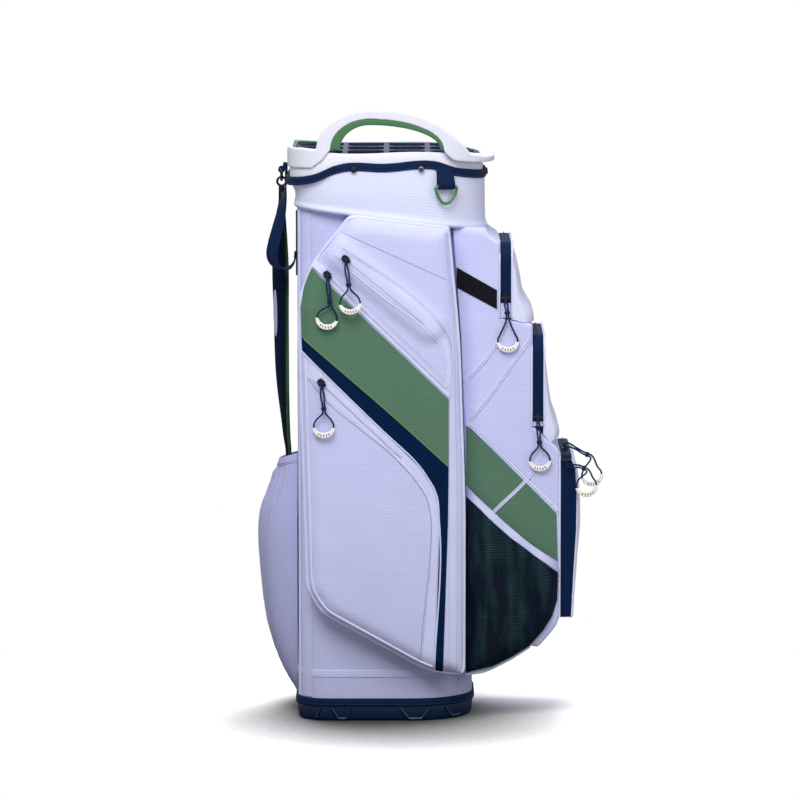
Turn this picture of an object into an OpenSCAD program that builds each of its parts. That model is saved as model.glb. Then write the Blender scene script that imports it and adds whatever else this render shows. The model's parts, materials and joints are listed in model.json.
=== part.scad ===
// Golf cart bag: a fabric tube on a moulded base, with a moulded collar, a carry hoop, a
// club divider and zipped pockets round it. Millimetres, +Z up. +X points to the front
// pockets, -Y to the side with the carry hoop. The origin is the middle of the underside.

/* [Tube] */
// Distance from the origin to the rear face of the tube
tube_back = 128; // [115:1:140]
// Distance from the origin to the front face of the tube
tube_front = 132; // [120:1:145]
// Half of the tube's width
tube_half = 115; // [108:1:122]
// Radius of the two rear corners
rear_r = 45; // [30:1:60]
// Radius of the two front corners
front_r = 88; // [60:1:100]
// Thickness of the padded wall
tube_wall = 3; // [2:0.5:4]
// Height of the tube's top edge
tube_top = 790; // [760:2:830]
// Diameter of the stay rods in the corners
stay_d = 8; // [6:0.5:10]

/* [Base] */
// Height of the moulded base that shows
base_h = 22; // [16:1:30]
// Thickness of the base's floor
base_floor = 4; // [3:0.5:6]
// Height of the base's upstand inside the tube
upstand_h = 24; // [15:1:35]
// Wall of the upstand
upstand_t = 3.5; // [2.5:0.5:5]
// Depth of the moulded recesses in the base's sides
recess_d = 4; // [2:0.5:6]
// Pitch of the moulded recesses
recess_pitch = 26; // [20:1:30]
// Height of the sewn binding above the base
foot_binding_h = 12; // [8:1:18]
// Thickness of the sewn bindings
binding_t = 2; // [1.5:0.5:3]

/* [Collar] */
// Distance from the origin to the collar's rear face
collar_back = 139; // [132:1:146]
// Distance from the origin to the collar's front face
collar_front = 147; // [140:1:155]
// Half of the collar's width
collar_half = 128; // [123:1:134]
// Radius of the collar's rear corners
collar_rear_r = 60; // [45:1:75]
// Radius of the collar's front corners
collar_front_r = 100; // [80:1:110]
// Wall of the collar
collar_wall = 4.5; // [3:0.5:6]
// Height of the rim over the tube's top edge
collar_h = 56; // [50:1:64]
// Rise of the rim at the rear
rear_rise = 7; // [6:1:16]
// Drop of the rim at the front lip
lip_drop = 8; // [4:1:10]
// Reach of the front lip past the collar
lip_reach = 17; // [10:1:24]
// Thickness of the halo band on the collar
halo_t = 3.5; // [2.5:0.5:5]
// Height of the cuff's top binding
cuff_binding_h = 12.5; // [9:0.5:16]
// Drop of the binding below the rim, at the rear
rear_drop = 37.5; // [34:0.5:42]
// Drop of the binding below the rim, at the front
front_drop = 29; // [27:0.5:34]
// Diameter of the collar rivets
rivet_d = 8; // [6:0.5:10]

/* [Carry hoop] */
// Rise of the hoop's outer edge over the rim
hoop_rise = 63; // [52:1:75]
// Distance of the hoop's crown behind the origin
hoop_crown = 20; // [5:1:35]
// Rear foot of the hoop, behind the origin
hoop_rear = 104; // [96:1:110]
// Front foot of the hoop, ahead of the origin
hoop_front = 121; // [112:1:126]
// Thickness of the hoop's moulded band, in the side view
hoop_band = 13; // [11:1:19]
// Depth of the hoop, across the bag
hoop_depth = 13; // [10:1:17]
// Thickness of the rubber grip under the hoop
grip_t = 9; // [6:1:12]

/* [Divider] */
// Width of the divider's moulded bars
bar_w = 8; // [6:0.5:11]
// Depth of the moulded divider
grid_h = 16; // [10:1:22]
// Chamfer in the corners of a club slot
cell_chamfer = 10; // [6:1:14]
// Pitch of the cross bars
bar_pitch = 61; // [56:1:66]
// Distance of the long bars from the middle
row_y = 40; // [36:1:44]
// Thickness of the fabric divider panels
panel_t = 2; // [1.5:0.5:3]

/* [Side pockets] */
// Distance of a side pocket's flat face from the middle
face_y = 155; // [145:1:165]
// Rounding of a side pocket's edges
pocket_edge = 26; // [16:1:32]
// Height of the pocket's lower front corner
pocket_low = 72; // [60:1:90]
// Rise of the pocket's lower edge to the rear
pocket_sweep = 130; // [100:5:150]
// How far the side pocket's rear foot leans forwards
pocket_lean = 13; // [0:1:20]
// Stand of the welt under the upper zip
welt_t = 7.5; // [7:0.5:10]

/* [Front pockets] */
// Half of the front pockets' width
front_half = 105; // [95:1:110]
// Reach of the upper pocket's zip from the tube
upper_reach = 40; // [32:1:48]
// Reach of the middle pocket's zip from the tube
middle_reach = 88; // [80:1:94]
// Reach of the ball pocket's zip from the tube
ball_reach = 130; // [122:1:138]
// Width of the front zip bands
front_zip_w = 16; // [12:1:18]
// Fullness of the upper pocket's cover at its foot
upper_full = 35; // [26:1:38]
// Fullness of the middle pocket's cover at its foot
middle_full = 24; // [18:1:28]
// Fullness of the ball pocket's cover
ball_full = 13; // [12:1:18]
// Fullness of the mesh bottle pocket
mesh_full = 20; // [15:1:28]
// Wall of the mesh and pouch fabric
cloth_t = 2; // [1.5:0.5:3]

/* [Zips] */
// Width of a side zip
zip_w = 9; // [7:1:12]
// Thickness of a zip's tape and teeth
zip_t = 1.2; // [0.8:0.2:2]
// Length of a zip slider
slider_l = 14; // [11:1:17]
// Width of a zip slider
slider_w = 10; // [8:1:12]
// Thickness of a zip slider's body
slider_t = 2.8; // [2:0.2:4]
// Diameter of the pull cord
pull_cord_d = 2.2; // [1.8:0.2:2.4]
// Radius of the moulded pull grip
pull_grip_r = 16; // [13:0.5:18]
// Thickness of the moulded pull grip
pull_grip_t = 4; // [3:0.5:5]

/* [Spine] */
// Fullness of the spine pouch
pouch_full = 60; // [45:1:70]
// Half of the spine pouch's width
pouch_half = 82; // [72:1:95]
// Height of the pouch's mouth
pouch_top = 389; // [360:1:410]
// Width of the shoulder strap's pad
strap_w = 50; // [40:1:56]
// Thickness of the shoulder strap's pad
strap_t = 13; // [9:1:16]
// Turn of the strap's face towards the near side, in degrees
strap_turn = 20; // [0:1:24]
// Distance of the strap from the middle plane
strap_y = 14; // [8:1:20]
// Width of the grab handle's webbing
web_w = 25; // [20:1:30]
// Thickness of the webbing
web_t = 2.6; // [2:0.2:3.4]
// Distance of the grab handle from the middle plane
grab_y = -36; // [-42:1:-30]

/* [Towel ring] */
// Diameter of the ring's wire
ring_wire_d = 4.6; // [3.6:0.2:5.4]
// Width of the ring
ring_w = 36; // [34:1:42]
// Height of the ring
ring_h = 29; // [26:1:36]
// Angle of the collar corner that carries the ring
ring_angle = 24; // [15:1:32]

/* [Hidden] */
clear = 0.3;
seat = 0.2;
loop_slack = 0.4;
corner_n = 8;
tiny = 0.01;
far = 400;
NEAR = 0;
FAR = 1;

tube_sec = [tube_back, tube_front, tube_half, rear_r, front_r];
collar_sec = [collar_back, collar_front, collar_half, collar_rear_r, collar_front_r];
lip_sec = [collar_back + halo_t, collar_front + lip_reach, collar_half + halo_t,
           collar_rear_r + halo_t, collar_front_r + halo_t];
cuff_foot_sec = [tube_back + cloth_t + clear, collar_front + 6, collar_half - 3, rear_r + 4, front_r + 8];

rim_z = tube_top + collar_h;
grid_top = rim_z - 1;
ledge_z = grid_top - grid_h;
flange_t = 6;
boss_d = stay_d + 5;
cuff_mid = tube_top - 39;
cuff_slope = -0.124;
cuff_hang = 30;
stay_in = tube_wall + upstand_t + clear;
cross_x = [for (k = [-1 : 1]) k * bar_pitch + 4];
side_right = tube_front - 11;
side_left = -tube_back;
upper_zip_x = tube_front + upper_reach;
middle_zip_x = tube_front + middle_reach;
ball_zip_x = tube_front + ball_reach;
slider_bar_d = 2;
axis_off = zip_t + clear + slider_t + 3.7;
skin_t = cloth_t + 2 * clear + binding_t;
strap_loop_z = tube_top + 22;
strap_wire = 4;
strap_stand = 4;
towel_z = rim_z - 49;
towel_loop_w = 26;
towel_bore_w = 20;
towel_loop_h = 24;
strap_loop_w = 20;
strap_bore_w = 15;
strap_loop_h = 10;
strap_ring_h = 20;
strap_x = -collar_back - skin_t - strap_stand - strap_wire / 2 - loop_slack - web_t - seat;
pouch_low = base_h + foot_binding_h + 2;
patch_t = 1.6;

// Heights on the front, down from the tube's top edge
upper_low = tube_top - 190;
middle_low = tube_top - 350;
upper_top = tube_top - 78;
middle_top = tube_top - 215;
ball_top = tube_top - 392;
ball_low = 153;

// Side zips as [slider's place, far end of the tape, stand off the pocket's face]
zip_upper = [[-55, tube_top - 97], [56, tube_top - 188], welt_t];
zip_band = [[-82, tube_top - 121], [90, tube_top - 286], 0];
zip_lower = [[-91, tube_top - 280], [24, tube_top - 388], 0];

// Points and outlines

function unit(v) = v / norm(v);
function left_of(v) = unit([-v[1], v[0]]);
function flat_list(lists) = [for (l = lists) each l];

function arc(centre, r, a0, a1, n = corner_n) =
  [for (i = [0 : n]) let (a = a0 + (a1 - a0) * i / n) centre + r * [cos(a), sin(a)]];

// One quarter of an egg-shaped curve, from a0 to a1, with its own reach each way
function oval(centre, rx, rz, p, a0, a1, n = 12) =
  [for (i = [0 : n]) let (a = a0 + (a1 - a0) * i / n)
    centre + [rx * sign(cos(a)) * pow(abs(cos(a)), 2 / p), rz * pow(abs(sin(a)), 2 / p)]];

// D-shaped section of the tube, grown all round
function d_ring(sec, grow = 0) =
  let (b = sec[0] + grow, f = sec[1] + grow, h = sec[2] + grow, rb = sec[3] + grow, rf = sec[4] + grow)
  concat(arc([f - rf, h - rf], rf, 0, 90), arc([rb - b, h - rb], rb, 90, 180),
         arc([rb - b, rb - h], rb, 180, 270), arc([f - rf, rf - h], rf, 270, 360));

// Outline moved inwards by d, for corners given counter-clockwise
function inset(pts, d) =
  let (n = len(pts))
  [for (i = [0 : n - 1])
    let (p = pts[i], n0 = left_of(p - pts[(i + n - 1) % n]), n1 = left_of(pts[(i + 1) % n] - p))
    p + (n0 + n1) * d / (1 + n0 * n1)];

// Outline with each corner cut back and rounded
function softened(pts, cut, n = 3) =
  let (c = len(pts))
  flat_list([for (i = [0 : c - 1])
    let (p = pts[i], back = pts[(i + c - 1) % c] - p, on = pts[(i + 1) % c] - p,
         t = min(cut[i], 0.45 * norm(back), 0.45 * norm(on)),
         a = p + unit(back) * t, b = p + unit(on) * t)
    [for (k = [0 : n]) let (s = k / n) (1 - s) * (1 - s) * a + 2 * s * (1 - s) * p + s * s * b]]);

function middle_of(ring) = [for (k = [0 : 2]) let (v = [for (p = ring) p[k]]) (min(v) + max(v)) / 2];

// Solid through rings of points, each counter-clockwise seen from the next
module loft(rings, closed = false) {
  n = len(rings[0]);
  m = len(rings);
  last = closed ? m - 1 : m - 2;
  sides = flat_list([for (j = [0 : last]) for (i = [0 : n - 1])
    let (a = j * n + i, b = j * n + (i + 1) % n, k = (j + 1) % m, c = k * n + (i + 1) % n, d = k * n + i)
    [[a, d, c], [a, c, b]]]);
  caps = flat_list([for (i = [0 : n - 1])
    [[m * n, i, (i + 1) % n], [m * n + 1, (m - 1) * n + (i + 1) % n, (m - 1) * n + i]]]);
  points = concat(flat_list(rings), closed ? [] : [middle_of(rings[0]), middle_of(rings[m - 1])]);
  polyhedron(points, closed ? sides : concat(sides, caps), convexity = 6);
}

// Rings of a section carried along a path; side is the section's first direction
function swept(path, section, side, closed = false) =
  let (n = len(path))
  [for (i = [0 : n - 1])
    let (a = closed ? path[(i + n - 1) % n] : path[max(i - 1, 0)],
         b = closed ? path[(i + 1) % n] : path[min(i + 1, n - 1)],
         t = unit(b - a), e1 = unit(side - t * (t * side)), e2 = cross(t, e1))
    [for (q = section) path[i] + e1 * q[0] + e2 * q[1]]];

// Smooth line through the points of a path
function blended(path, n = 3) =
  let (m = len(path))
  concat([for (i = [0 : m - 2]) for (k = [0 : n - 1])
    let (p0 = path[max(i - 1, 0)], p1 = path[i], p2 = path[i + 1], p3 = path[min(i + 2, m - 1)], s = k / n)
    p1 + 0.5 * s * (p2 - p0 + s * (2 * p0 - 5 * p1 + 4 * p2 - p3 + s * (3 * (p1 - p2) + p3 - p0)))],
    [path[m - 1]]);

function round_section(d, n = 6) = [for (i = [0 : n - 1]) d / 2 * [cos(360 * i / n), sin(360 * i / n)]];
function band_section(w, t) =
  let (c = min(w, t) * 0.3)
  [[w / 2, c - t / 2], [w / 2, t / 2 - c], [w / 2 - c, t / 2], [c - w / 2, t / 2],
   [-w / 2, t / 2 - c], [-w / 2, c - t / 2], [c - w / 2, -t / 2], [w / 2 - c, -t / 2]];

// Building blocks

module d_solid(sec, z0, z1, grow = 0) {
  translate([0, 0, z0]) linear_extrude(z1 - z0) polygon(d_ring(sec, grow));
}

module d_shell(sec, z0, z1, outer, inner) {
  difference() {
    d_solid(sec, z0, z1, outer);
    d_solid(sec, z0 - 1, z1 + 1, inner);
  }
}

// Side-view outline carried across the bag from y0 to y1
module side_cut(pts, y0 = -far, y1 = far) {
  translate([0, y1, 0]) rotate([90, 0, 0]) linear_extrude(y1 - y0) polygon(pts);
}

// Padded panel in the side view, from level low to level high off the middle plane
module pillow(pts, cut, low, high, edge, steps = 3) {
  levels = concat([[low, 0]], [for (k = [0 : steps]) let (a = 90 * k / steps)
    [high - edge + edge * sin(a), edge * (1 - cos(a))]]);
  rotate([90, 0, 0]) loft([for (l = levels)
    let (cuts = [for (c = cut) max(c - 0.6 * l[1], 2)])
    [for (p = softened(inset(pts, l[1]), cuts)) [p[0], p[1], l[0]]]]);
}

// Padded cover in the side view, standing on its rear edge and thinner towards both its sides
module cushion(pts, cut, half, edge, steps = 3) {
  thin = 0.45;
  zs = [for (p = pts) p[1]];
  mid = (min(zs) + max(zs)) / 2;
  tall = max(zs) - min(zs);
  rear = min([for (p = pts) p[0]]);
  front = [for (k = [0 : steps]) let (a = 90 * k / steps) [half - edge + edge * sin(a), 1 - cos(a)]];
  back = [for (k = [steps : -1 : 0]) [-front[k][0], front[k][1]]];
  rotate([90, 0, 0]) loft([for (l = concat(back, front))
    let (fx = 1 - thin * l[1], fz = 1 - l[1] * edge / tall,
         ring = [for (p = pts) [rear + (p[0] - rear) * fx, mid + (p[1] - mid) * fz]])
    [for (p = softened(ring, [for (c = cut) c * fx], 2)) [p[0], p[1], l[0]]]]);
}

module mirrored(side) {
  mirror([0, side == FAR ? 1 : 0, 0]) children();
}

// Base

function cuff_low(x) = cuff_mid + cuff_slope * x;

function stay_places() =
  let (r = rear_r - stay_in - stay_d / 2 - 1, f = front_r - stay_in - stay_d / 2 - 1, s = sqrt(0.5))
  [for (y = [-1, 1]) each [[rear_r - tube_back - r * s, y * (tube_half - rear_r + r * s)],
                           [tube_front - front_r + f * s, y * (tube_half - front_r + f * s)]]];

module at_stays(z) {
  for (p = stay_places()) translate([p[0], p[1], z]) children();
}

// Zigzag of moulded triangles in the base's side, from x onwards
module recess_row(x, count) {
  rib = 2;
  low = 5;
  high = base_h - 4;
  for (k = [0 : count - 1]) {
    a = x + k * recess_pitch / 2;
    up = k % 2 == 0;
    side_cut([[a + rib, up ? low : high], [a + recess_pitch / 2, up ? high : low],
              [a + recess_pitch - rib, up ? low : high]]);
  }
}

module base_tray() {
  foot = [[0, -6], [2, -2.5], [6, -0.5], [base_h, 1]];
  boss_h = 15;
  color([0.067, 0.149, 0.247]) {
    difference() {
      union() {
        loft([for (l = foot) [for (p = d_ring(tube_sec, l[1])) [p[0], p[1], l[0]]]]);
        d_solid(tube_sec, base_h - 1, base_h + upstand_h, -tube_wall - clear);
      }
      d_solid(tube_sec, base_floor, base_h + upstand_h + 1, -stay_in);
      intersection() {
        d_shell(tube_sec, 0, base_h, recess_d, -recess_d);
        union() {
          recess_row(rear_r - tube_back - 18, 3);
          recess_row(24, 5);
        }
      }
    }
    at_stays(base_floor - 1) difference() {
      cylinder(d = boss_d, h = boss_h, $fn = 40);
      translate([0, 0, 3]) cylinder(d = stay_d + 2 * seat, h = boss_h, $fn = 40);
    }
  }
}

module base_binding() {
  color([0.043, 0.118, 0.243])
    d_shell(tube_sec, base_h, base_h + foot_binding_h, binding_t + 0.5, 0);
}

// Tube and its frame

module body_tube() {
  color([0.82, 0.83, 0.97]) d_shell(tube_sec, base_h, tube_top, 0, -tube_wall);
}

module stay_rods() {
  color([0.6, 0.62, 0.65]) at_stays(base_floor + 2)
    cylinder(d = stay_d, h = tube_top + 3 - base_floor, $fn = 40);
}

module divider_panels() {
  low = base_floor + clear;
  high = ledge_z - clear;
  reach = tube_back + tube_front;
  edges = concat([-reach], cross_x, [reach]);
  color([0.02, 0.09, 0.19]) intersection() {
    d_solid(tube_sec, low, high, -stay_in - 2 * clear);
    union() {
      for (x = cross_x) translate([x - panel_t / 2, -far / 2, low]) cube([panel_t, far, high - low]);
      for (k = [0 : len(edges) - 2]) for (y = [-row_y, row_y])
        translate([edges[k] + panel_t / 2 + clear, y - panel_t / 2, low])
          cube([edges[k + 1] - edges[k] - panel_t - 2 * clear, panel_t, high - low]);
    }
  }
}

// Cuff and collar

// Top edges of the collar and of the cuff's binding in the side view, as heights from the rim
function from_rim(l) = [for (p = l) [p[0], rim_z + p[1]]];
function rim_line() = from_rim([[-far, rear_rise + 1], [-collar_back, rear_rise], [-hoop_rear, 3],
  [30 - hoop_rear, 0], [85, 0], [125, 3 - lip_drop], [collar_front + 3, -lip_drop], [far, -lip_drop - 2]]);
function binding_line() = from_rim([[-far, -rear_drop - 1], [-collar_back, -rear_drop], [-101, -31], [-72, -18.5],
  [-60, -15.5], [0, -15.5], [80, -13], [107, -22.5], [121, -25], [collar_front, -front_drop], [far, -front_drop - 1]]);
function reversed(l) = [for (i = [len(l) - 1 : -1 : 0]) l[i]];
function lowered(l, d) = [for (p = l) [p[0], p[1] - d]];
function strip(l, top, bottom) = concat(lowered(l, bottom), reversed(lowered(l, top)));

// Flared form of the cuff, grown all round and longer by spare at both ends
module cuff_form(grow, spare) {
  outer = cloth_t + clear;
  levels = [[cuff_mid - cuff_hang - spare, cuff_foot_sec, grow], [tube_top - 1, collar_sec, outer + grow],
            [rim_z + spare, collar_sec, outer + grow]];
  loft([for (l = levels) [for (p = d_ring(l[1], l[2])) [p[0], p[1], l[0]]]]);
}

module cuff() {
  color([0.85, 0.87, 1]) intersection() {
    difference() {
      cuff_form(0, 0);
      cuff_form(-cloth_t, 1);
    }
    side_cut(concat([[-far, cuff_low(-far)], [far, cuff_low(far)]], reversed(lowered(binding_line(), 5))));
  }
}

module cuff_binding() {
  color([0.043, 0.118, 0.243]) intersection() {
    d_shell(collar_sec, tube_top - 30, rim_z, skin_t, skin_t - binding_t);
    side_cut(strip(binding_line(), 0, cuff_binding_h));
  }
}

module collar_ring() {
  color([0.92, 0.92, 0.97]) {
    intersection() {
      union() {
        d_shell(collar_sec, tube_top, rim_z + far, 0, -collar_wall);
        d_shell(collar_sec, ledge_z - 8, ledge_z, -collar_wall + tiny, -collar_wall - 6);
      }
      side_cut(concat([[-far, 0], [far, 0]], reversed(rim_line())));
    }
    difference() {
      union() {
        difference() {
          d_solid(collar_sec, tube_top, tube_top + flange_t, -collar_wall + tiny);
          d_solid(tube_sec, tube_top - 1, tube_top + flange_t + 1, -stay_in);
        }
        at_stays(tube_top) cylinder(d = boss_d, h = flange_t, $fn = 40);
      }
      at_stays(tube_top - 1) cylinder(d = stay_d + 2 * seat, h = flange_t + 2, $fn = 40);
    }
  }
}

// Carry hoop: outer and inner edges in the side view
function hoop_edge(grow, foot) =
  let (rise = hoop_rise - foot - grow, c = [-hoop_crown, rim_z + foot], side = 1.6 * grow,
       front = hoop_front + hoop_crown - side - (grow > 0 ? 12 : 0),
       crest = [[1, 0], [0.92, 0.2], [0.795, 0.46], [0.645, 0.715], [0.48, 0.87], [0.3, 0.97], [0, 1]])
  concat(grow > 0 ? oval(c, front, rise, 2, 0, 90)
                  : blended([for (p = crest) c + [front * p[0], rise * p[1]]], 3),
         oval(c, hoop_rear - hoop_crown - side - 5, rise, 2, 90, 180));

module halo_hoop() {
  crest = hoop_edge(0, 5);
  window = hoop_edge(hoop_band, 5);
  lip = from_rim([[far, -lip_drop - 2], [collar_front + 3, -lip_drop], [hoop_front + 6, -3]]);
  rear = from_rim([[-collar_back, rear_rise], [-far, rear_rise + 1]]);
  rear_low = from_rim([[-far, -24], [-hoop_rear - 3, -23], [7 - hoop_rear, -16], [16 - hoop_rear, -8]]);
  front_low = from_rim([[90, 0], [97, -7], [105, -12], [126, -15], [collar_front, -17], [far, -17]]);
  far_low = from_rim([[-far, -24], [-hoop_rear - 3, -23], [-70, -12], [80, -12], [105, -13],
                      [collar_front, -17], [far, -17]]);
  rim_ahead = reversed([for (p = rim_line()) if (p[0] >= -hoop_rear) p]);
  rim_behind = from_rim([[-hoop_rear - 2, 3.5], [-hoop_rear - 2, far], [-far, far]]);
  low = rim_z - collar_h;
  high = rim_z + 2 * hoop_rise;
  color([0.94, 0.94, 0.98]) {
    difference() {
      intersection() {
        d_solid(lip_sec, low, high);
        side_cut(concat(rear_low, reversed(window), front_low, lip, crest, rear), -far, 0);
      }
      d_solid(collar_sec, low - 1, high + 1, -hoop_depth);
      intersection() {
        d_solid(collar_sec, low - 1, high + 1);
        side_cut(concat([[-far, 0], [far, 0]], rim_ahead, rim_behind));
      }
    }
    difference() {
      intersection() {
        d_solid(lip_sec, low, high);
        side_cut(concat(far_low, reversed(rim_line())), 0, far);
      }
      d_solid(collar_sec, low - 1, high + 1);
    }
  }
}

module hoop_grip() {
  top = hoop_edge(hoop_band, 5);
  low = hoop_edge(hoop_band + grip_t, 5);
  color([0.3, 0.46, 0.33]) intersection() {
    difference() {
      d_solid(lip_sec, rim_z, rim_z + far, -1.5);
      d_solid(collar_sec, rim_z - 1, rim_z + far + 1, -hoop_depth - 1);
    }
    side_cut(concat(top, reversed(low)), -far, 0);
  }
}

module rear_grip() {
  color([0.3, 0.46, 0.33]) intersection() {
    d_shell(collar_sec, grid_top, rim_z + rear_rise, -collar_wall - clear, -collar_wall - 5);
    side_cut(from_rim([[-far, -far], [14 - hoop_rear, -far], [14 - hoop_rear, 0], [-hoop_rear, 1],
                       [-collar_back, rear_rise - 2], [-far, rear_rise - 2]]));
  }
}

module divider_grid() {
  inner = -collar_wall - clear;
  xs = concat([-far], cross_x, [far]);
  ys = [-far, -row_y, row_y, far];
  color([0.78, 0.8, 0.86]) intersection() {
    translate([0, 0, ledge_z]) linear_extrude(grid_h) difference() {
      polygon(d_ring(collar_sec, inner));
      for (i = [0 : len(xs) - 2]) for (j = [0 : len(ys) - 2]) intersection() {
        polygon(d_ring(collar_sec, inner - bar_w));
        cell([xs[i], ys[j]], [xs[i + 1], ys[j + 1]]);
      }
    }
    side_cut(concat([[-far, 0], [far, 0]], reversed(lowered(rim_line(), 1))));
  }
}

// Club slot with chamfered corners between two bar crossings
module cell(low, high) {
  a = low + [1, 1] * bar_w / 2;
  b = high - [1, 1] * bar_w / 2;
  c = cell_chamfer;
  polygon([[a[0] + c, a[1]], [b[0] - c, a[1]], [b[0], a[1] + c], [b[0], b[1] - c],
           [b[0] - c, b[1]], [a[0] + c, b[1]], [a[0], b[1] - c], [a[0], a[1] + c]]);
}

module rivet() {
  rotate([90, 0, 0]) rotate_extrude($fn = 40)
    polygon([[0, 0], [rivet_d / 2, 0], [rivet_d / 2, 0.8], [rivet_d / 2 - 1, 1.7], [0, 2]]);
}

module collar_rivets() {
  drop = cuff_binding_h / 2;
  color([0.1, 0.1, 0.12]) {
    for (side = [NEAR, FAR]) mirrored(side) for (x = [-44, 55])
      translate([x, -collar_half - skin_t, rim_z - 17.5 - drop + x / 80]) rivet();
    for (y = [-18, 48])
      translate([-collar_back - skin_t, y, rim_z - rear_drop - drop]) rotate([0, 0, -90]) rivet();
    for (y = [-14, 14])
      translate([collar_front + skin_t, y, rim_z - front_drop - drop]) rotate([0, 0, 90]) rivet();
  }
}

// Webbing loops and wire rings

// Frame on the collar's front corner, X along the skin and -Y out of it
module at_towel() {
  r = collar_front_r + skin_t;
  corner = [collar_front - collar_front_r, collar_front_r - collar_half, towel_z];
  translate(corner + r * [sin(ring_angle), -cos(ring_angle), 0]) rotate([0, 0, ring_angle]) children();
}

// Frame on the collar's rear, X along the skin and -Y out of it
module at_strap() {
  translate([-collar_back - skin_t - strap_stand, strap_y, strap_loop_z]) rotate([0, 0, -90]) children();
}

// Folded webbing with a bore for a ring's bar; the bar's axis is at the frame's height
module web_loop(w, bore_w, tall, wire) {
  d = wire + 2 * (loop_slack + web_t);
  color([0.043, 0.118, 0.243]) translate([0, -seat, 0]) difference() {
    union() {
      translate([-w / 2, -web_t, d / 2]) cube([w, web_t, tall - d / 2]);
      translate([-bore_w / 2, -web_t, 0]) cube([bore_w, web_t, tall]);
      translate([-bore_w / 2, -d / 2, 0]) rotate([0, 90, 0]) cylinder(d = d, h = bore_w, $fn = 48);
    }
    translate([-w, -d / 2, 0]) rotate([0, 90, 0]) cylinder(d = wire + 2 * loop_slack, h = 2 * w, $fn = 48);
  }
}

// Three-sided wire ring with round corners, hung by its top bar
module wire_ring(w, h, wire, foot) {
  half = (w - wire) / 2;
  path = softened([[-half, 0], [-foot, wire - h], [foot, wire - h], [half, 0]], [5, 6, 6, 5], 4);
  translate([0, -ring_out(wire), 0])
    loft(swept([for (p = path) [p[0], 0, p[1]]], round_section(wire, 10), [0, 1, 0], true), true);
}

function ring_out(wire) = wire / 2 + loop_slack + web_t + seat;

module towel_loop() {
  at_towel() web_loop(towel_loop_w, towel_bore_w, towel_loop_h, ring_wire_d);
}

module towel_ring() {
  color([0.27, 0.46, 0.28]) at_towel() wire_ring(ring_w, ring_h, ring_wire_d, 5);
}

// Side pockets

function side_outline() =
  let (l = side_left, r = side_right, b = pocket_low)
  [[l + pocket_lean, b + pocket_sweep], [-92, b + 93], [66, b + 5], [r, b], [r, tube_top - 460],
   [r - 8, tube_top - 220],
   [r - 24, cuff_low(r - 24) - 0.4], [-50, cuff_low(-50) - 0.4],
   [l + 18, tube_top - 108], [l, tube_top - 165]];
side_cuts = [14, 14, 30, 12, 40, 40, 6, 10, 30, 30];

module side_pocket(side) {
  color([0.8, 0.81, 0.96]) mirrored(side) difference() {
    pillow(side_outline(), side_cuts, tube_half - rear_r, face_y, pocket_edge, 4);
    d_solid(tube_sec, 0, tube_top, clear);
  }
}

// Frame on a side zip: origin on the face at the slider, X right, Z up
module on_zip(z) {
  translate([z[0][0], -face_y - z[2], z[0][1]]) children();
}

function zip_turn(z) = let (d = z[1] - z[0]) atan2(d[1], d[0]);

module zip_welt(side) {
  d = unit(zip_upper[1] - zip_upper[0]);
  n = [-d[1], d[0]];
  a = zip_upper[0] - 16 * d;
  b = zip_upper[1] + 6 * d;
  outline = [a - 15 * n, b - 15 * n, b + 13 * n, a + 13 * n];
  color([0.84, 0.86, 0.98]) mirrored(side)
    pillow(outline, [for (p = outline) 12], face_y, face_y + welt_t, welt_t - 0.5, 2);
}

module zips(side) {
  color([0.86, 0.87, 0.97]) mirrored(side) for (z = [zip_upper, zip_band, zip_lower]) on_zip(z)
    rotate([0, -zip_turn(z), 0]) translate([-slider_l / 2 - 4, -zip_t, -zip_w / 2])
      cube([norm(z[1] - z[0]) + slider_l / 2 + 4, zip_t, zip_w]);
}

// Zip slider: wing plate along the zip, two cheeks and a bar across for the pull
module slider(turn) {
  low = zip_t + clear;
  bar = 8;
  cheek = 1.6;
  w = slider_w / 2;
  l = slider_l / 2;
  color([0.08, 0.08, 0.1]) {
    translate([0, -low, 0]) rotate([0, -turn, 0]) rotate([90, 0, 0]) linear_extrude(slider_t)
      polygon([[-l, 3 - w], [3 - l, -w], [l - 5, -w], [l, 3 - w],
               [l, w - 3], [l - 5, w], [3 - l, w], [-l, w - 3]]);
    for (x = [-bar / 2 - cheek, bar / 2]) hull() {
      translate([x, -low - slider_t + 0.2, -2.2]) cube([cheek, 0.2, 4.4]);
      translate([x, -axis_off, 0]) rotate([0, 90, 0]) cylinder(d = 3, h = cheek, $fn = 24);
    }
    translate([-bar / 2 - 0.2, -axis_off, 0]) rotate([0, 90, 0])
      cylinder(d = slider_bar_d, h = bar + 0.4, $fn = 32);
  }
}

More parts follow.
